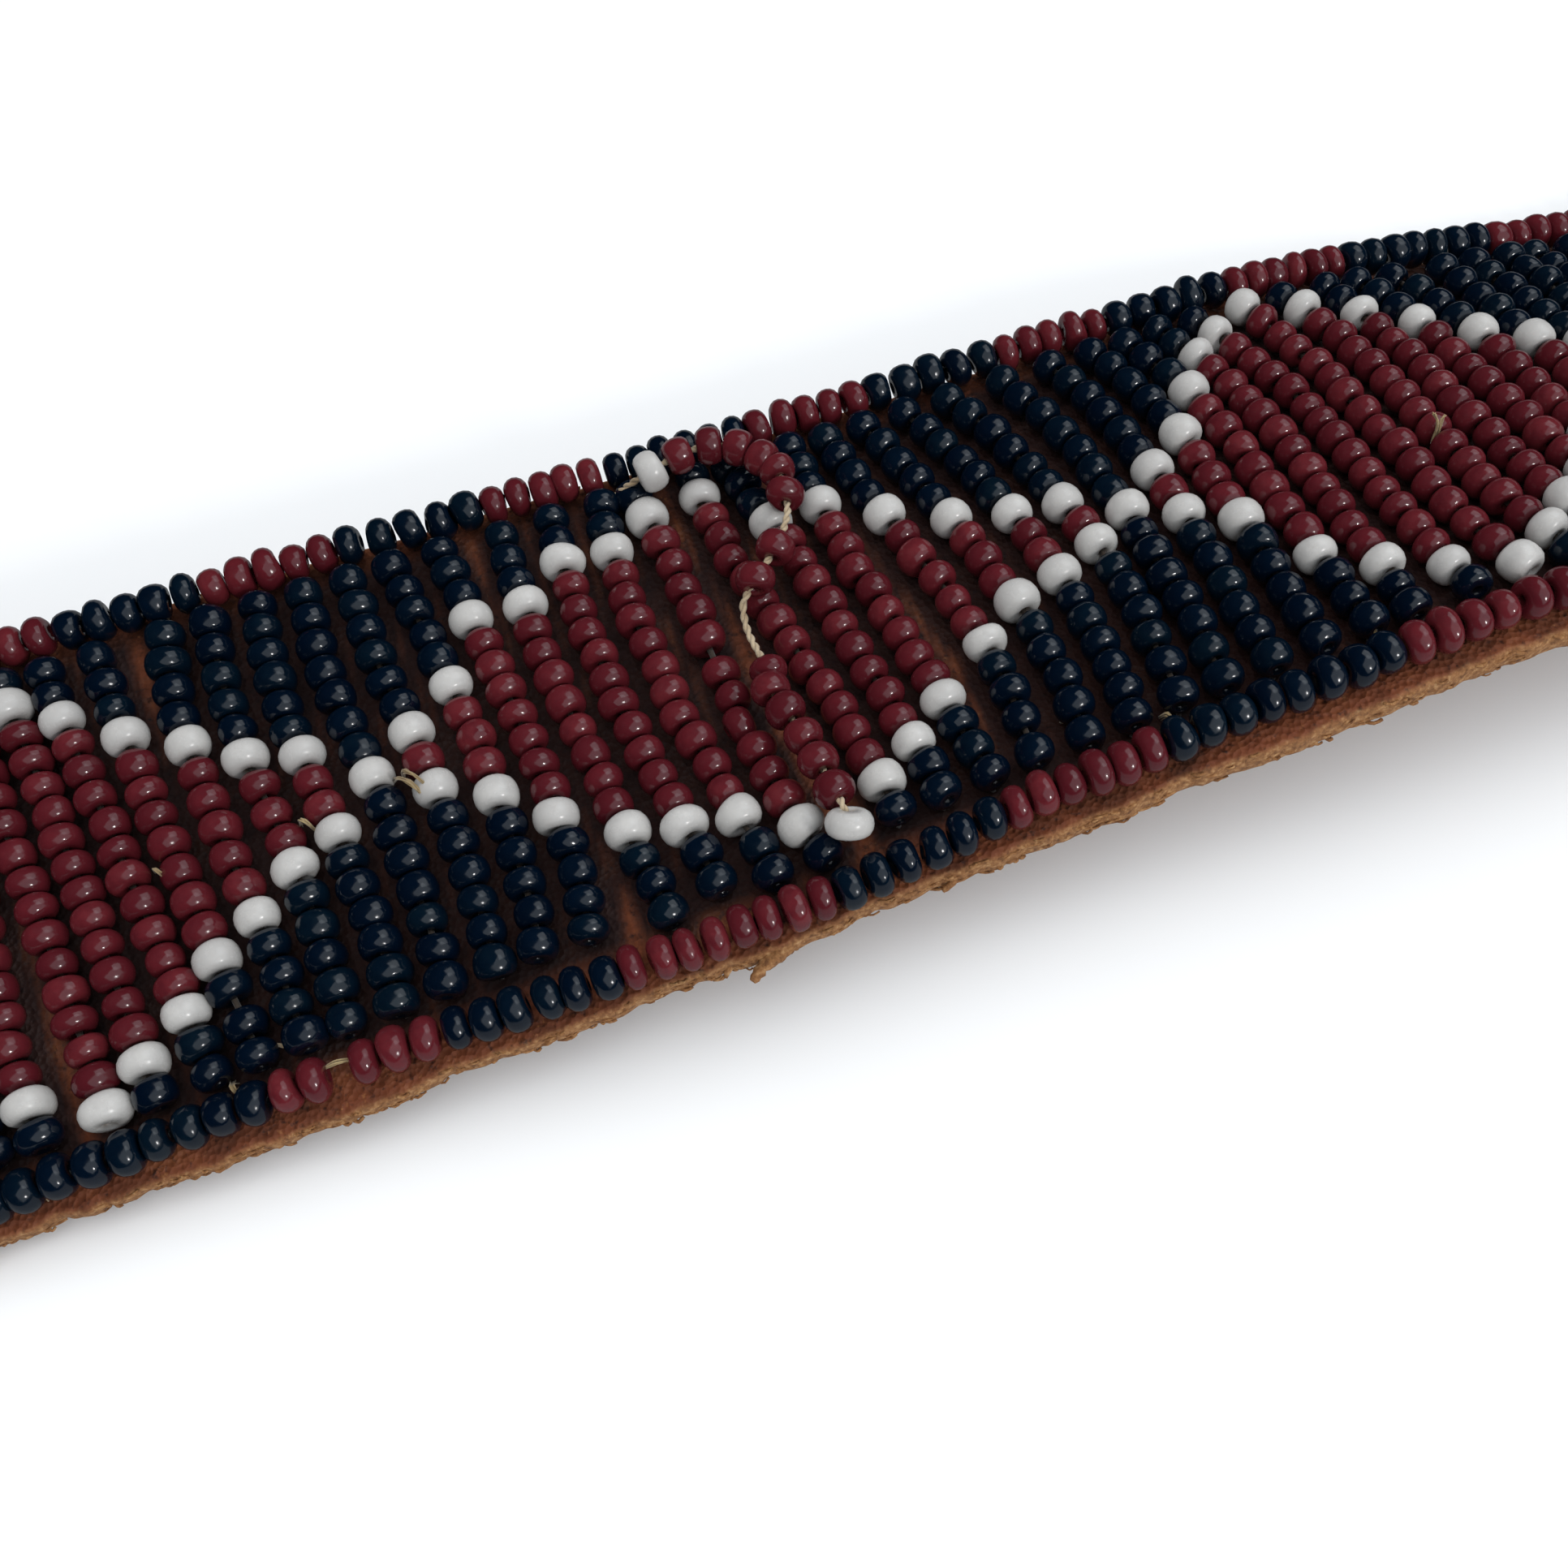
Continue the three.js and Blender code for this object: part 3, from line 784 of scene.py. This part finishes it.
def glass_material(name, tones, cloud_tint, stain, roughness):
    """Opaque glass: a tone for each bead, faint clouds in it, and grime where the thread runs."""
    material, tree, shader = new_material(name)
    tone = read_mark(tree, "bead_tone")
    places = np.linspace(0, 1, len(tones))
    colour = ramp(tree, tone, list(zip(places, tones)))
    clouds = add_mottle(tree, 900.0, 0.4, 0.75)
    colour = mix_colour(tree, clouds, colour, cloud_tint)
    in_hole = read_mark(tree, "in_hole")
    grime_and_shade = add_mottle(tree, 700.0, 0.3, 0.62)
    stained = add_node(tree, "ShaderNodeMath", {"operation": "MULTIPLY"}, i0=in_hole, i1=grime_and_shade).outputs[0]
    colour = mix_colour(tree, stained, colour, stain)
    tree.links.new(colour, shader.inputs["Base Color"])
    haze = add_mottle(tree, 1500.0, 0.3, 0.7)
    set_roughness(tree, shader, haze, *roughness)
    place = tree.nodes.new("ShaderNodeTexCoord").outputs["Object"]
    waves = add_node(tree, "ShaderNodeTexNoise", Vector=place, Scale=1100.0, Detail=2.0)
    set_bump(tree, shader, waves.outputs["Fac"], strength=0.22, distance=0.00012)
    shader.inputs["IOR"].default_value = 1.5
    return material


red_tones = [(0.066, 0.0070, 0.0108), (0.090, 0.0095, 0.0140), (0.116, 0.0145, 0.0190)]
dark_tones = [(0.0006, 0.0034, 0.0100), (0.0008, 0.0047, 0.0125), (0.0016, 0.0067, 0.0130)]
white_tones = [(0.44, 0.425, 0.41), (0.48, 0.465, 0.445), (0.51, 0.495, 0.475)]
glass = {
    "red": glass_material("brick_red_glass", red_tones, cloud_tint=(0.070, 0.0080, 0.0122),
                          stain=(0.04, 0.010, 0.008), roughness=(0.08, 0.24)),
    "dark": glass_material("blue_black_glass", dark_tones, cloud_tint=(0.0007, 0.0035, 0.0092),
                           stain=(0.02, 0.014, 0.009), roughness=(0.08, 0.24)),
    "white": glass_material("chalk_white_glass", white_tones, cloud_tint=(0.43, 0.415, 0.40),
                            stain=(0.16, 0.085, 0.035), roughness=(0.18, 0.32)),
}
white_shader = glass["white"].node_tree.nodes["Principled BSDF"]
white_shader.inputs["Subsurface Weight"].default_value = 0.15
white_shader.inputs["Subsurface Radius"].default_value = (0.6, 0.5, 0.45)
white_shader.inputs["Subsurface Scale"].default_value = 0.0006

# Where beads of a column have parted, by the bead after the gap, and beads that lie askew. A gap
# is in millimetres and a turn in radians.
Parting = namedtuple("Parting", "column bead gap")
partings = [Parting(-1, 7, 0.9), Parting(-12, 13, 0.5), Parting(4, 14, 0.5), Parting(-2, 14, 0.35)]
Tilted = namedtuple("Tilted", "column bead turn")
tilted = [Tilted(-1, 9, 1.4), Tilted(10, 6, 0.4), Tilted(-13, 15, -0.35), Tilted(13, 16, 0.3)]
creep_places = [15, 5, -5, -15]
most_stretch = 1.06
field_places = []


def lay_column(column, lists):
    """Threads one column of beads across the belt, each bead resting on the leather."""
    kinds, creeps = column_beads(column)
    step = column - loose_column
    count = len(kinds)
    lengths = np.array([bead_kinds[kind].length for kind in kinds])
    lengths = lengths * chance.normal(1, 0.04, count)
    span = 2 * field_half + near_reach.get(step, 0.0)
    parted = np.zeros(count + 1)
    for parting in partings:
        if parting.column == step:
            parted[parting.bead] = parting.gap
    slack = chance.uniform(0.0, 0.5)
    lengths *= min((span - slack - parted.sum()) / lengths.sum(), most_stretch)
    slack = span - lengths.sum() - parted.sum()
    shares = chance.uniform(0, 1, count + 1) ** 4
    shares[-3:] += 0.4
    gaps = parted + slack * shares / shares.sum()
    across = field_half - np.cumsum(lengths + gaps[:-1]) + lengths / 2
    way = np.polyfit(creep_places, creeps, 3)
    creep = np.polyval(way, across)
    middle_x = beads_start + (column + 0.5) * column_pitch
    x = middle_x + column_lean * across + creep + chance.normal(0, 0.08, count)
    diameters = np.array([bead_kinds[kind].diameter for kind in kinds])
    diameters = diameters * chance.normal(1, 0.03, count)
    diameters *= 1 - size_drift * np.clip(step, *drift_columns)
    heights = leather_thickness + bead_rest + diameters / 2 + chance.uniform(0, 0.16, count)
    middles = on_belt(x, across + beadwork_offset, heights)
    forward, sides, ups = lay_axes(x)
    slant = column_lean + np.polyval(np.polyder(way), across) + chance.normal(0, 0.07, count)
    for turned in tilted:
        if turned.column == step:
            slant[turned.bead] += math.tan(turned.turn)
    lift = chance.normal(0, 0.06, count)
    axes = sides + forward * slant[:, None] + ups * lift[:, None]
    for index, kind in enumerate(kinds):
        length = lengths[index] * length_shares[kind]
        lists[kind].add(middles[index], axes[index], length, diameters[index])
        field_places.append(middles[index])
    return middles


def lay_field(first, last):
    """Every column from first to last but the loose one; gives the lists and the thread's ways."""
    lists = {kind: BeadList() for kind in bead_kinds}
    ways = []
    for column in range(first, last):
        if column != loose_column:
            ways.append(lay_column(column, lists))
    return lists, ways


Stretch = namedtuple("Stretch", "where first last shape nodes")
stretches = [
    Stretch("buckle_end", 0, fine_columns.start, plain_bead, ["bead_field_buckle_side"]),
    Stretch("middle", fine_columns.start, fine_columns.stop, fine_bead,
            ["bead_field_buckle_side", "bead_field_tip_side"]),
    Stretch("tip_end", fine_columns.stop, column_count, plain_bead, ["bead_field_tip_side"]),
]
column_ways = []
for stretch in stretches:
    lists, ways = lay_field(stretch.first, stretch.last)
    if stretch.where == "middle":
        column_ways = ways
    for kind, beads in lists.items():
        make_beads(f"{kind}_beads_{stretch.where}", beads, stretch.shape, kind, stretch.nodes)

# One string of beads lies along each long edge, beside the ends of the columns, with its holes along the
# belt. Runs of red and blue-black beads take turns.
Run = namedtuple("Run", "start kind count")
far_runs = [Run(-44.4, "dark", 5), Run(-34.4, "red", 5), Run(-24.7, "dark", 5), Run(-14.1, "red", 5),
            Run(-5.0, "dark", 6), Run(6.0, "red", 5), Run(15.4, "dark", 5), Run(25.9, "red", 5),
            Run(34.8, "dark", 5), Run(44.7, "red", 6), Run(54.8, "dark", 7), Run(68.3, "red", 0)]
near_runs = [Run(-56.4, "dark", 9), Run(-37.5, "red", 2), Run(-33.6, "bare", 1), Run(-32.4, "red", 3),
             Run(-26.4, "dark", 6), Run(-14.7, "red", 8),
             Run(-0.6, "dark", 6), Run(11.0, "red", 6), Run(22.0, "dark", 8), Run(38.2, "red", 6),
             Run(50.0, "dark", 0)]
run_pitch = 2.02
beads_end = beads_start + column_count * column_pitch

# Beside the loose column the near string has moved out, in millimetres.
Stray = namedtuple("Stray", "along out")
strays = [Stray(-30, 0.0), Stray(-14, 0.8), Stray(-5, 1.2), Stray(2, 1.15),
          Stray(6, 0.95), Stray(10, 0.35), Stray(14, 0.15), Stray(30, 0.0)]
stray_places, stray_distances = zip(*strays)


def string_beads(runs, run_count):
    """Places along the belt, pitch and kind of every bead on an edge string."""
    beads = []
    for run, following in zip(runs, runs[1:]):
        pitch = (following.start - run.start) / run.count
        for index in range(run.count):
            if run.kind != "bare":
                beads.append((loose_x + run.start + (index + 0.5) * pitch, pitch, run.kind))
    other = {"red": "dark", "dark": "red"}
    onward = [(run_pitch, runs[-1].start, runs[-1].kind), (-run_pitch, runs[0].start, other[runs[0].kind])]
    for step, start, kind in onward:
        x = loose_x + start
        left = run_count
        while beads_start < x + step < beads_end:
            beads.append((x + step / 2, run_pitch, kind))
            x += step
            left -= 1
            if left == 0:
                kind = other[kind]
                left = run_count
    return beads


def lay_string(side, runs, run_count, node):
    """One edge string, with fine beads where the photo shows it and plain ones at its ends."""
    seen = {kind: BeadList() for kind in bead_kinds}
    unseen = {kind: BeadList() for kind in bead_kinds}
    low = beads_start + fine_columns.start * column_pitch
    high = beads_start + fine_columns.stop * column_pitch
    for x, pitch, kind in string_beads(runs, run_count):
        length = pitch * chance.uniform(0.86, 0.97)
        diameter = bead_diameter * chance.normal(1.0, 0.03)
        across = beadwork_offset + side * lane_offset + chance.normal(0, 0.07)
        if side < 0:
            across -= np.interp(x - loose_x, stray_places, stray_distances)
        height = leather_thickness + bead_rest + diameter / 2 + chance.uniform(0, 0.1)
        x += chance.normal(0, 0.05)
        forward, level, up = lay_axes(x)
        axis = forward + level * chance.normal(0, 0.08) + up * chance.normal(0, 0.05)
        lists = seen if low < x < high else unseen
        lists[kind].add(on_belt(x, across, height), axis, length, diameter)
    where = "near" if side < 0 else "far"
    for lists, part, shape in ((seen, "middle", fine_bead), (unseen, "ends", plain_bead)):
        for kind in ("red", "dark"):
            make_beads(f"{kind}_{where}_string_{part}", lists[kind], shape, kind, [node])


lay_string(1, far_runs, 5, "edge_string_far")
lay_string(-1, near_runs, 6, "edge_string_near")

# Shade is painted on the leather between the beads, darker the nearer a bead's middle is. None is painted
# where columns have moved apart, or along the edges that the beads don't cover.
shade_strength = 0.92
shade_reach = 2.95
shade_fade = 0.5


def paint_gap_shade():
    """Marks each point of the strap with painted shade, by how near the next bead's middle is."""
    mesh = strap.data
    points = np.zeros(len(mesh.vertices) * 3)
    mesh.vertices.foreach_get("co", points)
    tree = kdtree.KDTree(len(field_places))
    for index, place in enumerate(field_places):
        tree.insert(place * MM, index)
    tree.balance()
    reach = np.array([tree.find(point)[2] for point in points.reshape(-1, 3)]) / MM
    grime_and_shade = shade_strength * np.clip((shade_reach - reach) / shade_fade, 0, 1)
    layer = mesh.attributes.new("painted_bead_shade", "FLOAT", "POINT")
    layer.data.foreach_set("value", grime_and_shade.astype(np.float32))


paint_gap_shade()

# One column has come loose. Its thread still holds at both edges, but it has slipped out of its
# bed: the string loops over the neighbouring columns and its last white bead has turned over.
LooseBead = namedtuple("LooseBead", "kind along across height length")
loose_beads = [
    LooseBead("white", -1.9, 15.0, 4.2, 1.95),
    LooseBead("red", 0.35, 15.25, 4.6, 2.0),
    LooseBead("red", 2.65, 15.25, 4.7, 1.95),
    LooseBead("red", 4.5, 14.3, 4.7, 1.9),
    LooseBead("red", 5.8, 12.8, 4.6, 1.85),
    LooseBead("red", 6.45, 11.4, 4.5, 1.8),
    LooseBead("red", 6.3, 9.15, 4.5, 1.95),
    LooseBead("red", 4.15, 5.05, 4.4, 2.0),
    LooseBead("red", 2.05, 3.15, 4.4, 1.9),
    LooseBead("red", 0.65, -3.3, 3.2, 1.7),
    LooseBead("red", 0.25, -4.9, 3.5, 1.8),
    LooseBead("red", 0.65, -6.9, 3.6, 1.95),
    LooseBead("red", 1.1, -9.15, 3.6, 2.0),
    LooseBead("red", 1.35, -11.25, 3.7, 2.0),
    LooseBead("red", 1.55, -13.7, 3.9, 2.0),
    LooseBead("white", 1.6, -16.3, 3.9, 1.8),
]


# The last bead's hole points this much along the belt, across it and up.
turned_over = (0.29, 0.69, 0.66)


def belt_point(along, across, height):
    """A point given from the loose column, the middle of the beadwork and the leather's face."""
    return on_belt(loose_x + along, across + beadwork_offset, leather_thickness + height)


def bead_points(beads):
    return [belt_point(bead.along, bead.across, bead.height) for bead in beads]


def lay_loose_string():
    """Threads the loose beads in line with their neighbours, and turns the last one over."""
    middles = bead_points(loose_beads)
    lists = {kind: BeadList() for kind in bead_kinds}
    last = len(middles) - 1
    for index, bead in enumerate(loose_beads):
        axis = middles[min(index + 1, last)] - middles[max(index - 1, 0)]
        if index == last:
            forward, side, up = lay_axes(loose_x)
            axis = forward * turned_over[0] + side * turned_over[1] + up * turned_over[2]
        diameter = bead_kinds[bead.kind].diameter * chance.normal(1, 0.02)
        lists[bead.kind].add(middles[index], axis, bead.length, diameter)
    for kind in ("red", "white"):
        make_beads(f"{kind}_loose_string", lists[kind], fine_bead, kind, ["loose_string"])


lay_loose_string()

# All of it hangs on one cream cotton thread of two twisted plies. It is drawn through the beads of the
# middle stretch's columns and of the loose string, shows where beads have parted, and comes up in short
# stitches between the columns.
thread_radius = 0.27
ply_radius = 0.15
ply_turn = 1.5
thread_step = 0.14
thread_sides = 6


def twisted_thread(points):
    """Both plies of a stretch of thread, wound round each other."""
    way, walked = smooth_way(points, thread_step)
    first, second = way_frames(way)
    plies = []
    for start in (0.0, math.pi):
        turn = 2 * math.pi * walked / ply_turn + start
        offset = first * np.cos(turn)[:, None] + second * np.sin(turn)[:, None]
        plies.append(tube_mesh(way + offset * (thread_radius - ply_radius), ply_radius, thread_sides))
    return plies


def thread_material(name, clean, soiled):
    material, tree, shader = new_material(name)
    soil = add_mottle(tree, 800.0, 0.35, 0.7)
    colour = ramp(tree, soil, [(0.0, clean), (1.0, soiled)])
    tree.links.new(colour, shader.inputs["Base Color"])
    place = tree.nodes.new("ShaderNodeTexCoord").outputs["Object"]
    fuzz = add_node(tree, "ShaderNodeTexNoise", Vector=place, Scale=6000.0, Detail=3.0)
    set_bump(tree, shader, fuzz.outputs["Fac"], strength=0.5, distance=0.00008)
    shader.inputs["Roughness"].default_value = 0.85
    shader.inputs["Sheen Weight"].default_value = 0.25
    return material


cream_cotton = thread_material("cream_cotton", (0.50, 0.40, 0.27), (0.30, 0.21, 0.12))
soiled_cotton = thread_material("soiled_cotton", (0.06, 0.043, 0.030), (0.022, 0.015, 0.011))


def finish_thread(piece, node, material=cream_cotton):
    piece.data.materials.append(material)
    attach(piece, "root")
    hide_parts(node)


# Through the columns the thread is soiled, and goes down into the leather at both ends.
sewn_depth = 1.9
inner_radius = 0.2
column_tubes = []
for way in column_ways:
    _, _, up = lay_axes(way[0][0])
    far_end = way[0] + (way[0] - way[1]) * 0.25 - up * sewn_depth
    near_end = way[-1] + (way[-1] - way[-2]) * 0.25 - up * sewn_depth
    line = np.concatenate([[far_end], way, [near_end]])
    column_tubes.append(tube_mesh(line, inner_radius, thread_sides))
finish_thread(join_tubes("column_threads", column_tubes), "bead_field_tip_side", soiled_cotton)

# The loose string's thread shows bare where its beads have slid apart, and dives in at both ends.
loose_way = [belt_point(-5.4, 16.4, 0.2), belt_point(-4.2, 15.5, 2.5)]
loose_way += bead_points(loose_beads[:7])
loose_way += [belt_point(5.75, 7.25, 4.4)]
loose_way += bead_points(loose_beads[7:9])
loose_way += [belt_point(1.2, 2.5, 4.0), belt_point(0.65, 2.0, 3.4), belt_point(0.4, 0.35, 2.8)]
loose_way += [belt_point(0.6, -2.0, 2.8)]
loose_way += bead_points(loose_beads[9:15])
loose_way += [belt_point(1.6, -15.0, 4.4), belt_point(1.6, -15.8, 3.9), belt_point(1.55, -15.6, 2.4)]
loose_way += [belt_point(1.5, -15.4, 0.3)]
finish_thread(join_tubes("loose_thread", twisted_thread(loose_way)), "loose_string")

# Two rows of stitches in the same thread hold the turned-back end to the strap beside the
# buckle. Each stitch comes up out of the leather, runs across the belt and goes down again.
row_places = (17.0, 35.0)
stitch_starts = np.arange(-16.5, 15.0, 5.1)
stitch_way = [(0.0, -0.4), (0.5, 0.15), (3.1, 0.15), (3.6, -0.4)]


def fold_stitches():
    tubes = []
    for row_place in row_places:
        x = bar_x + row_place
        for start in stitch_starts:
            points = [on_belt(x, start + across, leather_thickness + rise) for across, rise in stitch_way]
            tubes += twisted_thread(points)
    return join_tubes("fold_stitches", tubes)


finish_thread(fold_stitches(), "strap")

# Where stitches have worked loose, short ends of the thread stick up between the beads. Each way
# gives places from the loose column, from the middle of the beadwork and over the leather.
thread_ends = [
    [(-25.3, -0.4, 1.0), (-24.5, -1.4, 3.2), (-23.7, -2.3, 3.6), (-23.2, -3.2, 2.4)],
    [(-24.6, -0.5, 1.0), (-24.0, -1.2, 3.3), (-23.2, -2.0, 3.7), (-22.7, -2.9, 2.6)],
    [(-36.8, -14.8, 0.6), (-36.0, -15.4, 2.1), (-35.1, -15.9, 2.2)],
    [(-39.9, -16.0, 0.3), (-39.6, -16.8, 1.9), (-39.3, -17.7, 0.4)],
    [(-34.2, -17.6, 1.6), (-33.0, -17.7, 2.1), (-31.8, -17.8, 1.6)],
    [(-53.2, -17.2, 0.3), (-52.9, -18.0, 1.8), (-52.7, -18.8, 0.3)],
    [(-31.7, -1.2, 1.0), (-31.2, -1.8, 2.9), (-30.7, -2.4, 1.0)],
    [(-41.4, -1.0, 1.0), (-41.0, -1.5, 2.9), (-40.6, -2.2, 1.0)],
    [(-37.3, 17.2, 0.3), (-36.9, 16.7, 1.0), (-36.4, 16.2, 0.3)],
    [(49.3, -3.2, 1.6), (49.4, -2.9, 3.1), (49.2, -2.5, 3.7)],
    [(49.5, -3.3, 1.6), (49.7, -2.9, 3.0), (50.0, -2.7, 3.4)],
    [(37.2, -15.2, 0.3), (37.5, -15.9, 1.5), (37.8, -16.7, 0.3)],
    [(23.1, -15.6, 0.3), (23.4, -16.2, 1.5), (23.7, -16.9, 0.3)],
    [(17.4, -13.2, 0.4), (17.7, -13.9, 1.5), (18.0, -14.5, 0.4)],
]
fibres_per_end = 6
end_fibres = []
for points in thread_ends:
    for _ in range(fibres_per_end):
        strayed = [belt_point(*point) + chance.normal(0, 0.09, 3) for point in points]
        way, _ = smooth_way(strayed, 0.25)
        end_fibres.append(tube_mesh(way, chance.uniform(0.04, 0.075), fibre_sides))
yellowed_cotton = thread_material("yellowed_cotton", (0.34, 0.25, 0.12), (0.2, 0.13, 0.06))
finish_thread(join_tubes("loose_thread_ends", end_fibres), "loose_string", yellowed_cotton)

# Floor, lights and camera. The floor lies a hair under the strap, so that the two never share a
# plane, and the beads mirror it darker than it is.
floor_drop = 0.05 * MM
paper_white = (0.9, 0.9, 0.9)
mirrored_grey = (0.28, 0.28, 0.28)
floor_mesh = bpy.data.meshes.new("floor")
floor_mesh.from_pydata([(-3, -3, 0), (3, -3, 0), (3, 3, 0), (-3, 3, 0)], [], [(0, 1, 2, 3)])
floor = bpy.data.objects.new("floor", floor_mesh)
floor.location.z = -floor_drop
bpy.context.scene.collection.objects.link(floor)
floor_material, floor_tree, floor_shader = new_material("pale_paper")
mirrored = floor_tree.nodes.new("ShaderNodeLightPath").outputs["Is Glossy Ray"]
paper = mix_colour(floor_tree, mirrored, paper_white, mirrored_grey)
floor_tree.links.new(paper, floor_shader.inputs["Base Color"])
floor_shader.inputs["Roughness"].default_value = 0.9
floor_mesh.materials.append(floor_material)


def aim(place, target, roll=0.0):
    """A matrix at place that looks at target, turned about that line."""
    ahead = (Vector(target) - Vector(place)).normalized()
    level = ahead.cross(Vector((0, 0, 1))).normalized()
    upward = level.cross(ahead)
    turned = level * math.cos(roll) + upward * math.sin(roll)
    top = upward * math.cos(roll) - level * math.sin(roll)
    rotation = Matrix((turned, top, -ahead)).transposed().to_4x4()
    return Matrix.Translation(place) @ rotation


def add_light(name, place, size, power, colour):
    """A soft rectangular light that shines on the belt's middle."""
    light = bpy.data.lights.new(name, "AREA")
    light.shape = "RECTANGLE"
    light.size, light.size_y = size
    light.energy = power
    light.color = colour
    lamp = bpy.data.objects.new(name, light)
    bpy.context.scene.collection.objects.link(lamp)
    lamp.matrix_world = aim(place, (0, 0, 0))
    return lamp


# The window gives each bead its small bright glint, and the wall round it a broad faint one. The
# skylight lights the far side, and the ceiling fills the shadows without being mirrored.
add_light("window", (0.55, -0.9, 0.62), (0.15, 0.17), 3.8, (1.0, 0.98, 0.96))
add_light("window_wall", (0.7, -0.9, 1.3), (2.8, 2.2), 17.0, (0.88, 0.95, 1.0))
add_light("skylight", (1.3, 0.6, 1.6), (1.5, 1.5), 9.0, (0.9, 0.96, 1.0))
ceiling = add_light("ceiling", (-0.3, 0.4, 1.6), (2.6, 2.0), 22.0, (0.98, 0.99, 1.0))
ceiling.visible_glossy = False
world = bpy.data.worlds.new("room")
bpy.context.scene.world = world
world.use_nodes = True
world.node_tree.nodes["Background"].inputs["Color"].default_value = (0.92, 0.95, 1.0, 1.0)
world.node_tree.nodes["Background"].inputs["Strength"].default_value = 0.3
world.cycles_visibility.glossy = False
bpy.context.scene.view_settings.view_transform = "Standard"

camera_data = bpy.data.cameras.new("camera")
camera_data.lens = 36.0
camera_data.sensor_width = 36.0
camera_data.clip_start = 0.005
camera = bpy.data.objects.new("camera", camera_data)
bpy.context.scene.collection.objects.link(camera)
bpy.context.scene.camera = camera
camera_place = Vector(((loose_x - 11.88) * MM, -60.75 * MM, 96.54 * MM))
camera_target = Vector(((loose_x - 0.93) * MM, -8.98 * MM, 8.0 * MM))
camera_roll = math.radians(-8.06)
camera.matrix_world = aim(camera_place, camera_target, camera_roll)

bpy.context.view_layer.update()
